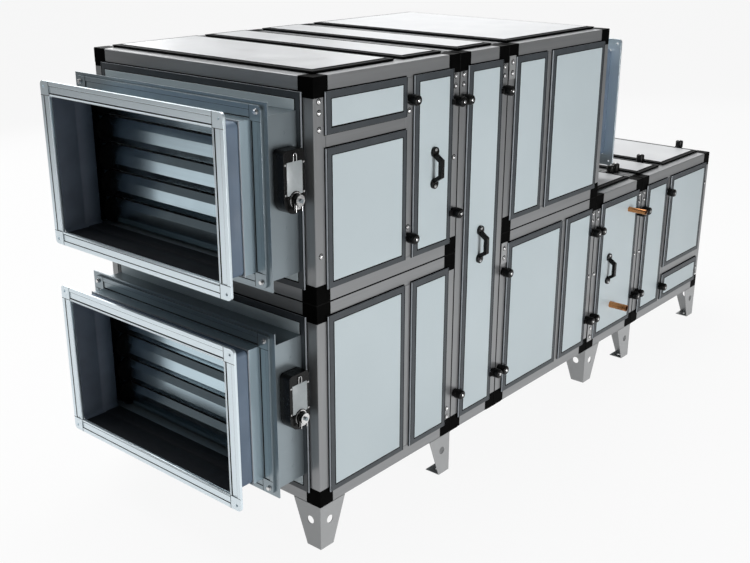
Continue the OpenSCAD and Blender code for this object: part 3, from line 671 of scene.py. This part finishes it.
def facing(point, direction):
    return Matrix.Translation(point) @ Vector(direction).to_track_quat("Z", "Y").to_matrix().to_4x4()


def add_piece(name, bm, finish, body="housing", sharp=0.6):
    mesh = bpy.data.meshes.new(name)
    bmesh.ops.recalc_face_normals(bm, faces=bm.faces)
    bm.to_mesh(mesh)
    bm.free()
    mesh.polygons.foreach_set("use_smooth", [True] * len(mesh.polygons))
    mesh.set_sharp_from_angle(angle=sharp)
    mesh.materials.append(finish)
    piece = bpy.data.objects.new(name, mesh)
    bpy.context.scene.collection.objects.link(piece)
    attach(piece, body)
    return piece


def add_turned(name, profiles, places, finish, body="housing"):
    """One piece with the turned profiles at every place; a profile is (sides, points in millimetres)."""
    bm = bmesh.new()
    for place in places:
        for sides, points in profiles:
            turn_profile(bm, [(r * mm, h * mm) for r, h in points], sides, place)
    print(name, len(places))
    return add_piece(name, bm, finish, body)


# %% [markdown]
# The posts carry bright dome-head screws on dark washers: a pair under an upper corner block or
# above a lower one, and single ones between. Each washer is a sealing washer whose black also paints the
# shadow ring round its head. Each post has its own set, as in the photograph, and the back repeats the
# front.

# %% Frame screws
dome_head = [(16, [(0, 0.6), (7.6, 0.6), (8.0, 1.0), (7.7, 1.9), (6.2, 2.2), (5.6, 3.6), (4.2, 4.7),
                   (2.4, 5.1), (1.8, 3.6), (0, 3.4)])]
shadow_ring_washer = [(18, [(0, 0), (9.4, 0), (9.4, 0.5), (8.4, 1.0), (0, 1.0)])]
post_middle = 22 * mm
beside_corner = (70 * mm, 102 * mm)
plain_post_inset = 150 * mm
top_and_middle = ("top", "middle")
post_sets = {("exhaust", 0): ("top", "upper", "lower"), ("exhaust", 1): top_and_middle,
             ("rotor", 0): ("top",), ("rotor", 1): ("top",), ("intake", 1): ("bottom",),
             ("fan", 1): top_and_middle, ("heater", 0): top_and_middle, ("heater", 1): top_and_middle,
             ("outlet", 0): top_and_middle, ("outlet", 1): ("upper", "bottom")}


def post_heights(name, side):
    low, high = section_box[name]
    places = {"top": [high.z - away for away in beside_corner], "upper": [high.z - plain_post_inset],
              "middle": [(low.z + high.z) / 2], "lower": [low.z + plain_post_inset],
              "bottom": [low.z + away for away in beside_corner]}
    return [z for group in post_sets.get((name, side), ()) for z in places[group]]


frame_screw_places = []
for name in sections:
    low, high = section_box[name]
    for side, x in enumerate((low.x + post_middle, high.x - post_middle)):
        for z in post_heights(name, side):
            frame_screw_places.append(facing((x, front_y, z), (0, -1, 0)))
            frame_screw_places.append(facing((x, back_y, z), (0, 1, 0)))
mullion_from_rotor = 262 * mm
mullion_x = section_box["rotor"][0].x - mullion_from_rotor
for z in (section_box["exhaust"][1].z - plain_post_inset, section_box["exhaust"][0].z + plain_post_inset):
    frame_screw_places.append(facing((mullion_x, front_y, z), (0, -1, 0)))
add_turned("frame_screws", dome_head, frame_screw_places, plated)
# The black washers are partly sealing washers and partly a painted shadow ring round each head.
add_turned("screw_shadow_washers", shadow_ring_washer, frame_screw_places, gasket)

# %% [markdown]
# Hexagon bolts hold the back flange of each connector to its casing, one through every corner piece. A
# bolt is a washer and a six-sided head with a chamfered crown; the nut behind the plate is out of sight.

# %% Flange bolts
hex_bolt = [(24, [(0, 0), (8.0, 0), (8.4, 0.4), (8.4, 1.4), (8.0, 1.8), (0, 1.8)]),
            (6, [(0, 1.8), (7.2, 1.8), (7.2, 6.2), (6.2, 7.1), (0, 7.1)])]
flange_low, flange_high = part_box("damper_rail_corners")
hole_inset = 18 * mm
duct_middle = {"lower": (section_box["intake"][0].z + section_box["intake"][1].z) / 2,
               "upper": (section_box["exhaust"][0].z + section_box["exhaust"][1].z) / 2}
flange_half_h = flange_high.z - duct_middle["upper"]
near_flange = flange_low.x
collar_reach = section_box["intake"][0].x - near_flange
far_flange = {"upper": section_box["extract"][1].x + collar_reach, "lower": flange_high.x}
flange_bolt_places = []
for tier, middle in duct_middle.items():
    for y in (flange_low.y + hole_inset, flange_high.y - hole_inset):
        for z in (middle - flange_half_h + hole_inset, middle + flange_half_h - hole_inset):
            flange_bolt_places.append(facing((near_flange, y, z), (-1, 0, 0)))
            flange_bolt_places.append(facing((far_flange[tier], y, z), (1, 0, 0)))
add_turned("flange_bolts", hex_bolt, flange_bolt_places, plated)

# %% [markdown]
# Some nodes hold several separate solids, such as knobs, handles or panels. Welding a copy of the mesh
# and walking along its edges parts them again, so that each can be measured by itself.

# %% Separate solids
def solids_of(node):
    """The corner points of each separate solid in a CAD node."""
    bm = bmesh.new()
    bm.from_mesh(nodes[node].data)
    bmesh.ops.remove_doubles(bm, verts=bm.verts, dist=0.01 * mm)
    waiting, found = set(bm.verts), []
    while waiting:
        group = [waiting.pop()]
        for vertex in group:
            for edge in vertex.link_edges:
                other = edge.other_vert(vertex)
                if other in waiting:
                    waiting.remove(other)
                    group.append(other)
        found.append([vertex.co.copy() for vertex in group])
    bm.free()
    return found


def box_of(points):
    return tuple(Vector([pick(p[a] for p in points) for a in range(3)]) for pick in (min, max))


print(len(solids_of("clamp_knobs")), "knobs,", len(solids_of("door_handles")), "handles")

# %% [markdown]
# Clamp knobs, handles and joining plates are screwed on. A knob's screw sits in the middle of its flat
# top, a handle's two screws in its round ends, and a joining plate's pair one above the other.

# %% Knob, handle and plate screws
knob_screw = [(14, [(0, -1), (5.6, -1), (5.6, 0.8), (4.6, 1.6), (2.0, 1.9), (1.6, 0.6), (0, 0.6)])]
knob_places = []
for knob in solids_of("clamp_knobs"):
    low, high = box_of(knob)
    direction = (0, -1, 0) if low.y < front_y - 1 * mm else (0, 0, 1)
    reach = max(p.dot(Vector(direction)) for p in knob)
    top_low, top_high = box_of([p for p in knob if p.dot(Vector(direction)) > reach - 0.1 * mm])
    knob_places.append(facing((top_low + top_high) / 2, direction))
add_turned("knob_screws", knob_screw, knob_places, plated)

handle_screw = [(14, [(0, -1), (5.2, -1), (5.2, 0.8), (4.2, 1.9), (2.0, 2.3), (1.6, 1.0), (0, 1.0)])]
screw_from_end = 9 * mm
round_end_thickness = 8 * mm
handle_places = []
for handle in solids_of("door_handles"):
    low, high = box_of(handle)
    for z in (low.z + screw_from_end, high.z - screw_from_end):
        handle_places.append(facing(((low.x + high.x) / 2, high.y - round_end_thickness, z), (0, -1, 0)))
add_turned("handle_screws", handle_screw, handle_places, plated)

plate_screw_spacing = 37 * mm
plate_places = []
for plate in solids_of("joining_plates"):
    low, high = box_of(plate)
    for lift in (-plate_screw_spacing / 2, plate_screw_spacing / 2):
        plate_places.append(facing(((low.x + high.x) / 2, low.y, (low.z + high.z) / 2 + lift), (0, -1, 0)))
add_turned("plate_screws", dome_head, plate_places, plated)
# These black washers also paint the shadow ring round each plate screw.
add_turned("plate_shadow_washers", shadow_ring_washer, plate_places, gasket)

# %% [markdown]
# Each panel gets fine borders. A metal strip caps the upright cut edges of its rim with a slanting face
# that catches a little light, with a black seal between strip and rim that is also a painted shadow gap.
# The gasket under the rim is squeezed out a little all round as a black lip, partly a seal and partly a
# painted shadow gap round the rim. A dark bead at the foot of the face is shifted further out below and
# on one side, a painted shadow of the proud face's edge. All are small outlines, laid as straight bars
# with closed ends or carried round with mitred corners. The rectangles are read from the panel's own
# corners.

# %% Panel borders
def panel_rectangle(points, box, level):
    """The rectangle of a panel's corners at a level above the frame: middle, directions and half sizes."""
    low, high = box
    limits = {(a, s): (high[a] if s > 0 else -low[a]) for a in range(3) for s in (-1, 1)}
    axis, sign = max(limits, key=lambda side: max(side[1] * p[side[0]] for p in points) - limits[side])
    surface = limits[axis, sign]
    ring_low, ring_high = box_of([p for p in points if abs(sign * p[axis] - surface - level) < close])
    middle = (ring_low + ring_high) / 2
    middle[axis] = sign * surface
    half = (ring_high - ring_low) / 2
    across, up = [a for a in range(3) if a != axis]
    unit = Matrix.Identity(3)
    return middle, unit[across], unit[up], unit[axis] * sign, half[across], half[up]


def join_rings(bm, ring, following):
    ahead = [(i + 1) % len(ring) for i in range(len(ring))]
    return [bm.faces.new((ring[i], ring[n], following[n], following[i])) for i, n in enumerate(ahead)]


def lay_border(bm, rectangle, outline):
    """Carries a closed outline of (outwards, height) points round a rectangle."""
    middle, across, up, out, half_across, half_up = rectangle
    rings = []
    for sx, sy in ((-1, -1), (1, -1), (1, 1), (-1, 1)):
        rings.append([bm.verts.new(middle + across * sx * (half_across + u * mm)
                                   + up * sy * (half_up + u * mm) + out * v * mm) for u, v in outline])
    for ring, following in zip(rings, rings[1:] + rings[:1]):
        join_rings(bm, ring, following)


def lay_sides(bm, rectangle, outline):
    """Lays the outline as a straight bar along both upright sides of a rectangle."""
    middle, across, up, out, half_across, half_up = rectangle
    for sx in (-1, 1):
        ends = [[bm.verts.new(middle + across * sx * (half_across + u * mm) + up * sy * half_up
                              + out * v * mm) for u, v in outline] for sy in (-1, 1)]
        join_rings(bm, *ends)
        for end in ends:
            bm.faces.new(end)


rim_level, face_level = 8 * mm, 10 * mm
edge_strip = [(0.4, 4.0), (0.4, 8.3), (0.8, 8.4), (3.0, 6.2), (3.0, 4.0)]
# The seal beside the strip and the gasket lip round the rim are painted shadow gaps.
strip_shadow_seal = [(-2.4, 7.9), (-2.4, 8.2), (-2.0, 8.3), (0.4, 8.3), (0.4, 7.9)]
gasket_shadow_lip = [(-1.0, 0.1), (2.6, 0.1), (3.0, 1.0), (2.4, 3.0), (-1.0, 3.4)]
face_shadow_bead = [(-2.0, 7.9), (-2.0, 9.2), (1.8, 9.2), (3.2, 8.4), (3.6, 7.9)]
# This shift moves the dark face bead down and to one side: a painted shadow of the face's edge.
shadow_shift = 1.6 * mm
panel_solids = [(name, points) for name in sections for points in solids_of(f"{name}_panels")]
for points in solids_of("duct_end_panels"):
    low, high = box_of(points)
    panel_solids.append((end_section((low + high) / 2), points))
strips, shadow_beads, shadow_seals = bmesh.new(), bmesh.new(), bmesh.new()
for name, points in panel_solids:
    rim = panel_rectangle(points, section_box[name], rim_level)
    direction = rim[3]
    if direction.z == 0:
        lay_sides(strips, rim, edge_strip)
        lay_sides(shadow_seals, rim, strip_shadow_seal)
        lay_border(shadow_seals, rim, gasket_shadow_lip)
    middle, across, up, *others = panel_rectangle(points, section_box[name], face_level)
    lay_border(shadow_beads, (middle + (across - up) * shadow_shift, across, up, *others), face_shadow_bead)
add_piece("panel_edge_strips", strips, cut_edge)
add_piece("panel_face_shadow_beads", shadow_beads, gasket)
add_piece("panel_rim_shadow_seals", shadow_seals, gasket)
print("borders on", len(panel_solids), "panels")

# %% [markdown]
# Just inside the duct's far wall every blade carries a black moulded disc, which is the first thing that
# shows of the gear train behind it. A disc is turned with a stepped face and rides its blade, and
# neighbours almost touch.

# %% Blade discs
disc_radius = 44.6
disc_profile = [(40, [(0, -6), (disc_radius - 1, -6), (disc_radius, -5), (disc_radius, 5),
                      (disc_radius - 1, 6), (34, 6), (33, 4.5), (20, 4.5), (19, 6), (0, 6)])]
disc_from_wall = 12 * mm
duct_wall_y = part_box("connector_strips")[1].y - casing_wall
for node in blade_names:
    low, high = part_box(node)
    disc_place = ((low.x + high.x) / 2, duct_wall_y - disc_from_wall, (low.z + high.z) / 2)
    disc_name = node.replace("blade", "blade_disc")
    disc_places = [facing(disc_place, (0, -1, 0))]
    add_turned(disc_name, disc_profile, disc_places, gear_black, node)

# %% [markdown]
# Each actuator wears a bare pale plate above its hub between four small screws, with a bright scale ring
# on the hub and a wire clip at the top. Plates with rounded corners are drawn as an outline and given a
# little thickness.

# %% Actuator plates
plate_white = new_finish("bare_plate", (0.36, 0.39, 0.4), 0.35)
tint(plate_white, field(plate_white, 30), (0.34, 0.37, 0.38), (0.38, 0.41, 0.42))
shine(plate_white, field(plate_white, 90, shift=1), 0.28, 0.42)


def rounded_plate(bm, width, height, corner, thickness, place, corner_steps=4):
    """A flat plate with round corners, lying on the place's XY plane."""
    outline = []
    for quarter, (sx, sy) in enumerate(((1, 1), (-1, 1), (-1, -1), (1, -1))):
        for step in range(corner_steps + 1):
            angle = pi / 2 * (quarter + step / corner_steps)
            outline.append(Vector((sx * (width / 2 - corner) + corner * cos(angle),
                                   sy * (height / 2 - corner) + corner * sin(angle), 0)))
    edge = min(thickness, corner) / 3
    rings = [[bm.verts.new(place @ (p * shrink + Vector((0, 0, level)))) for p in outline]
             for level, shrink in ((0, 1), (thickness - edge, 1), (thickness, 1 - 2 * edge / width))]
    for lower, upper in zip(rings, rings[1:]):
        join_rings(bm, lower, upper)
    bm.faces.new(rings[-1])
    bm.faces.new(list(reversed(rings[0])))


actuator_low, actuator_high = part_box("actuators")
hub_height = 4 * mm
actuator_face_y = actuator_low.y + hub_height
actuator_x = (actuator_low.x + actuator_high.x) / 2
plate_width, plate_height, plate_rise = 62 * mm, 96 * mm, 62 * mm
plate_corner, plate_thickness = 3 * mm, 1 * mm
screw_aside, screw_rises = 36.5 * mm, (18 * mm, 104 * mm)
bm = bmesh.new()
actuator_screw_places, ring_places = [], []
for middle in duct_middle.values():
    rounded_plate(bm, plate_width, plate_height, plate_corner, plate_thickness,
                  facing((actuator_x, actuator_face_y, middle + plate_rise), (0, -1, 0)))
    ring_places.append(facing((actuator_x, actuator_low.y, middle), (0, -1, 0)))
    for x in (-screw_aside, screw_aside):
        for z in screw_rises:
            actuator_screw_places.append(facing((actuator_x + x, actuator_face_y, middle + z), (0, -1, 0)))
add_piece("actuator_plates", bm, plate_white)
small_screw = [(12, [(0, -0.5), (3.4, -0.5), (3.4, 1.0), (2.6, 1.7), (1.3, 1.8), (1.0, 0.8), (0, 0.8)])]
add_turned("actuator_screws", small_screw, actuator_screw_places, plated)
scale_ring = [(40, [(19.5, -0.5), (23.5, -0.5), (23.5, 0.5), (23.0, 0.9), (20.0, 0.9), (19.5, 0.5),
                    (19.5, -0.5)])]
add_turned("scale_rings", scale_ring, ring_places, plated)

# %% [markdown]
# A wire clip is a bent rod, so a curve with a round bevel makes it: two legs and a rounded top.

# %% Wire clips
def bent_wire(name, points, radius, finish):
    curve = bpy.data.curves.new(name, "CURVE")
    curve.dimensions = "3D"
    curve.bevel_depth = radius
    curve.bevel_resolution = 3
    curve.use_fill_caps = True
    line = curve.splines.new("POLY")
    line.points.add(len(points) - 1)
    for place, point in zip(line.points, points):
        place.co = (*point, 1)
    curve.materials.append(finish)
    wire = bpy.data.objects.new(name, curve)
    bpy.context.scene.collection.objects.link(wire)
    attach(wire, "housing")
    return wire


clip_half, clip_low, clip_high = 6 * mm, 112 * mm, 128 * mm
clip_radius = 1.3 * mm
clip_y, clip_foot_y = actuator_face_y - 3 * mm, actuator_face_y + 1 * mm
clip_foot_drop = 2 * mm
bow_steps = 8
for tier, middle in duct_middle.items():
    angles = [pi * step / bow_steps for step in range(bow_steps + 1)]
    bow = [(actuator_x + clip_half * cos(a), clip_y, middle + clip_high + clip_half * sin(a)) for a in angles]
    leg, last_leg = [[(x, clip_foot_y, middle + clip_low - clip_foot_drop), (x, clip_y, middle + clip_low)]
                     for x in (bow[0][0], bow[-1][0])]
    bent_wire(f"{tier}_actuator_clip", leg + bow + last_leg[::-1], clip_radius, plated)
print("actuator clips made")

# %% [markdown]
# Where two sections meet, a black sealing cord shows as a thin line in the notch between their profiles.
# Straight six-sided rods laid in the notches are enough, because only a line of each shows.

# %% Seam cords
def lay_rod(bm, start, end, radius, sides=6):
    run = Vector(end) - Vector(start)
    profile = [(0, 0), (radius, 0), (radius, run.length), (0, run.length)]
    turn_profile(bm, profile, sides, facing(Vector(start), run))


cord_radius = 2.9 * mm
cord_depth = 1.2 * mm
bm = bmesh.new()
rotor_low, rotor_high = section_box["rotor"]
heater_low, heater_high = section_box["heater"]
unit_low_z = rotor_low.z
joints = ((rotor_low.x, rotor_high.z), (rotor_high.x, rotor_high.z), (heater_low.x, tier_seam),
          (heater_high.x, tier_seam))
for x, top in joints:
    for y in (front_y + cord_depth, back_y - cord_depth):
        lay_rod(bm, (x, y, unit_low_z), (x, y, top), cord_radius)
    lay_rod(bm, (x, front_y, top - cord_depth), (x, back_y, top - cord_depth), cord_radius)
for name in ("intake", "fan"):
    low, high = section_box[name]
    for y in (front_y + cord_depth, back_y - cord_depth):
        lay_rod(bm, (low.x, y, tier_seam), (high.x, y, tier_seam), cord_radius)
low, high = section_box["intake"]
lay_rod(bm, (low.x + cord_depth, front_y, tier_seam), (low.x + cord_depth, back_y, tier_seam), cord_radius)
add_piece("seam_cords", bm, gasket)
print("seam cords laid")

# %% [markdown]
# The flange corners are separate pressed pieces, so a dark line shows where each meets its two rails.
# Another dark line along the foot of every rail's raised band is a painted shade under the band's step.
# The steel strip ends in a rolled hem beside the cloth, which is a rounded border of the same kind as on
# the panels.

# %% Flange seams and strip hems
strip_low, strip_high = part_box("connector_strips")
duct_sheet = 3 * mm
duct_half_w = (strip_high.y - strip_low.y) / 2 - duct_sheet
duct_half_h = strip_high.z - duct_middle["upper"] - duct_sheet
duct_y = (strip_low.y + strip_high.y) / 2
front_low, front_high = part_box("duct_rails")
reach_front = section_box["intake"][0].x - front_low.x
flange_planes = {("lower", -1): (front_low.x, near_flange), ("upper", -1): (front_low.x, near_flange),
                 ("upper", 1): (section_box["extract"][1].x + reach_front, far_flange["upper"]),
                 ("lower", 1): (front_high.x, far_flange["lower"])}
seam_radius = 0.8 * mm
step_radius = 1.6 * mm
rail_width, rail_band, rail_step = 45 * mm, 14 * mm, 2 * mm
seams, hems = bmesh.new(), bmesh.new()
hem = [(-1.0, -3.0), (1.4, -3.0), (2.6, -2.2), (3.0, -1.0), (2.6, 0.2), (1.4, 1.0), (-1.0, 1.0)]
for (tier, sign), planes in flange_planes.items():
    for plane in planes:
        for sy in (-1, 1):
            for sz in (-1, 1):
                inner = Vector((plane, duct_y + sy * duct_half_w, duct_middle[tier] + sz * duct_half_h))
                lay_rod(seams, inner, inner + Vector((0, sy * rail_width, 0)), seam_radius)
                lay_rod(seams, inner, inner + Vector((0, 0, sz * rail_width)), seam_radius)
        # The rods at the foot of each raised band are painted shade under its step.
        step_w, step_h = duct_half_w + rail_width - rail_band, duct_half_h + rail_width - rail_band
        flat = plane - sign * rail_step
        for side in (-1, 1):
            lay_rod(seams, (flat, duct_y - duct_half_w, duct_middle[tier] + side * step_h),
                    (flat, duct_y + duct_half_w, duct_middle[tier] + side * step_h), step_radius)
            lay_rod(seams, (flat, duct_y + side * step_w, duct_middle[tier] - duct_half_h),
                    (flat, duct_y + side * step_w, duct_middle[tier] + duct_half_h), step_radius)
    strip_end = planes[1] + sign * (near_flange - strip_low.x)
    lay_border(hems, (Vector((strip_end, duct_y, duct_middle[tier])), Vector((0, 1, 0)), Vector((0, 0, 1)),
                      Vector((sign, 0, 0)), duct_half_w + duct_sheet, duct_half_h + duct_sheet), hem)
add_piece("flange_seams_and_shade_lines", seams, mastic_and_shade)
add_piece("strip_hems", hems, cut_edge)
print("seams and hems laid")

# %% [markdown]
# Each connector has a sleeve of coated cloth between its steel strip and its front flange. Cloth under
# light suction draws in between its edges and wrinkles along its length, so the sleeve is a loop of
# points that is pulled inwards most at half length, with a little noise. Its hem runs on under the strip
# and the flange into the casing. Solidify gives the band its two faces: the coated outside and the dark
# lining. Along the bottom the lining is far darker still, a painted shade for the dim floor of the duct.

# %% Sleeve cloth
cloth = new_finish("coated_cloth", (0.122, 0.17, 0.235), 0.6)
tint(cloth, field(cloth, 7), (0.11, 0.154, 0.214), (0.134, 0.186, 0.256))
shine(cloth, field(cloth, 20, shift=1), 0.5, 0.68)
relief(cloth, field(cloth, 700, detail=1), 0.2 * mm, 0.5)
relief(cloth, field(cloth, 16, shift=2), 2.0 * mm, 0.2)
lining_hue = (0.8, 0.95, 1.2)


def lining_finish(name, grey):
    colour = tuple(grey * v for v in lining_hue)
    lining = new_finish(name, colour, 0.6)
    shader_of(lining).inputs["Specular IOR Level"].default_value = 0.15
    tint(lining, field(lining, 9), tuple(0.9 * v for v in colour), tuple(1.1 * v for v in colour))
    relief(lining, field(lining, 700, detail=1), 0.2 * mm, 0.5)
    relief(lining, field(lining, 16, shift=2), 2.0 * mm, 0.25)
    return lining


lining = lining_finish("dark_lining", 0.16)
# Painted shade: the lining on the bottom side is ten times darker than the rest.
shaded_bottom_lining = lining_finish("shaded_bottom_lining", 0.016)
sleeve_low, sleeve_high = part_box("connector_sleeves")
sleeve_length = strip_low.x - sleeve_low.x
flange_and_plate = 13 * mm
hem_length = near_flange - strip_low.x + flange_and_plate
half_w = (sleeve_high.y - sleeve_low.y) / 2 - duct_sheet / 2
half_h = sleeve_high.z - duct_middle["upper"] - duct_sheet / 2
sleeve_y = (sleeve_low.y + sleeve_high.y) / 2
corner_round = 14 * mm


def band_loop(spacing=9 * mm, corner_steps=6):
    """Places round a rectangle with round corners: side, distance along it, turn at the corner, slack."""
    places = []
    for side in range(4):
        run = (half_w if side % 2 == 0 else half_h) - corner_round
        steps = int(2 * run / spacing)
        for i in range(steps):
            along = -run + 2 * run * i / steps
            places.append((side, along, None, 1 - (along / run) ** 4))
        for i in range(corner_steps):
            places.append((side, run, pi / 2 * (1 - i / corner_steps), 0))
    return places


def band_point(side, along, angle, inset):
    out = half_h if side % 2 == 0 else half_w
    if angle is None:
        y, z = along, out - inset
    else:
        y = along + (corner_round - inset) * cos(angle)
        z = out - corner_round + (corner_round - inset) * sin(angle)
    for _ in range(side):
        y, z = z, -y
    return y, z


hem_inset = 3.2 * mm
draw_in = 6 * mm
wrinkle = 2.2 * mm
cloth_thickness = 1.2 * mm
bottom_side = 2
ripple_round, ripple_along, ripple_change = 0.16, 1.3, 7
row_count, hem_end = 14, -0.04
sleeve_rows = [-hem_length / sleeve_length, hem_end] + [row / row_count for row in range(row_count + 1)]


def sleeve(name, start_x, sign, middle_z):
    bm = bmesh.new()
    loop = band_loop()
    grid = []
    for t in sleeve_rows:
        belly = sin(pi * max(t, 0))
        ring = []
        for number, (side, along, angle, slack) in enumerate(loop):
            ripple_place = (number * ripple_round, t * ripple_along, middle_z * ripple_change + sign)
            ripple = noise.noise(Vector(ripple_place))
            inset = hem_inset if t < 0 else slack * belly * (draw_in + wrinkle * ripple)
            y, z = band_point(side, along, angle, inset)
            ring.append(bm.verts.new((start_x + sign * sleeve_length * t, sleeve_y + y, middle_z + z)))
        grid.append(ring)
    for lower, upper in zip(grid, grid[1:]):
        for (side, *others), face in zip(loop, join_rings(bm, lower, upper)):
            # Bottom faces take the darker painted-shade lining on their inner side.
            face.material_index = 2 if side == bottom_side else 0
    piece = add_piece(name, bm, cloth, sharp=3)
    for finish in (lining, cloth, shaded_bottom_lining):
        piece.data.materials.append(finish)
    thicken = piece.modifiers.new("two_faces", "SOLIDIFY")
    thicken.thickness = cloth_thickness
    thicken.offset = -1
    thicken.material_offset = 1
    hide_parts("connector_sleeves")
    return piece


sleeve_start = section_box["intake"][0].x - strip_low.x
sleeve("intake_sleeve", strip_low.x, -1, duct_middle["lower"])
sleeve("exhaust_sleeve", strip_low.x, -1, duct_middle["upper"])
sleeve("extract_sleeve", section_box["extract"][1].x + sleeve_start, 1, duct_middle["upper"])
sleeve("outlet_sleeve", strip_high.x, 1, duct_middle["lower"])
print("four sleeves,", round(sleeve_length, 3), "m long")
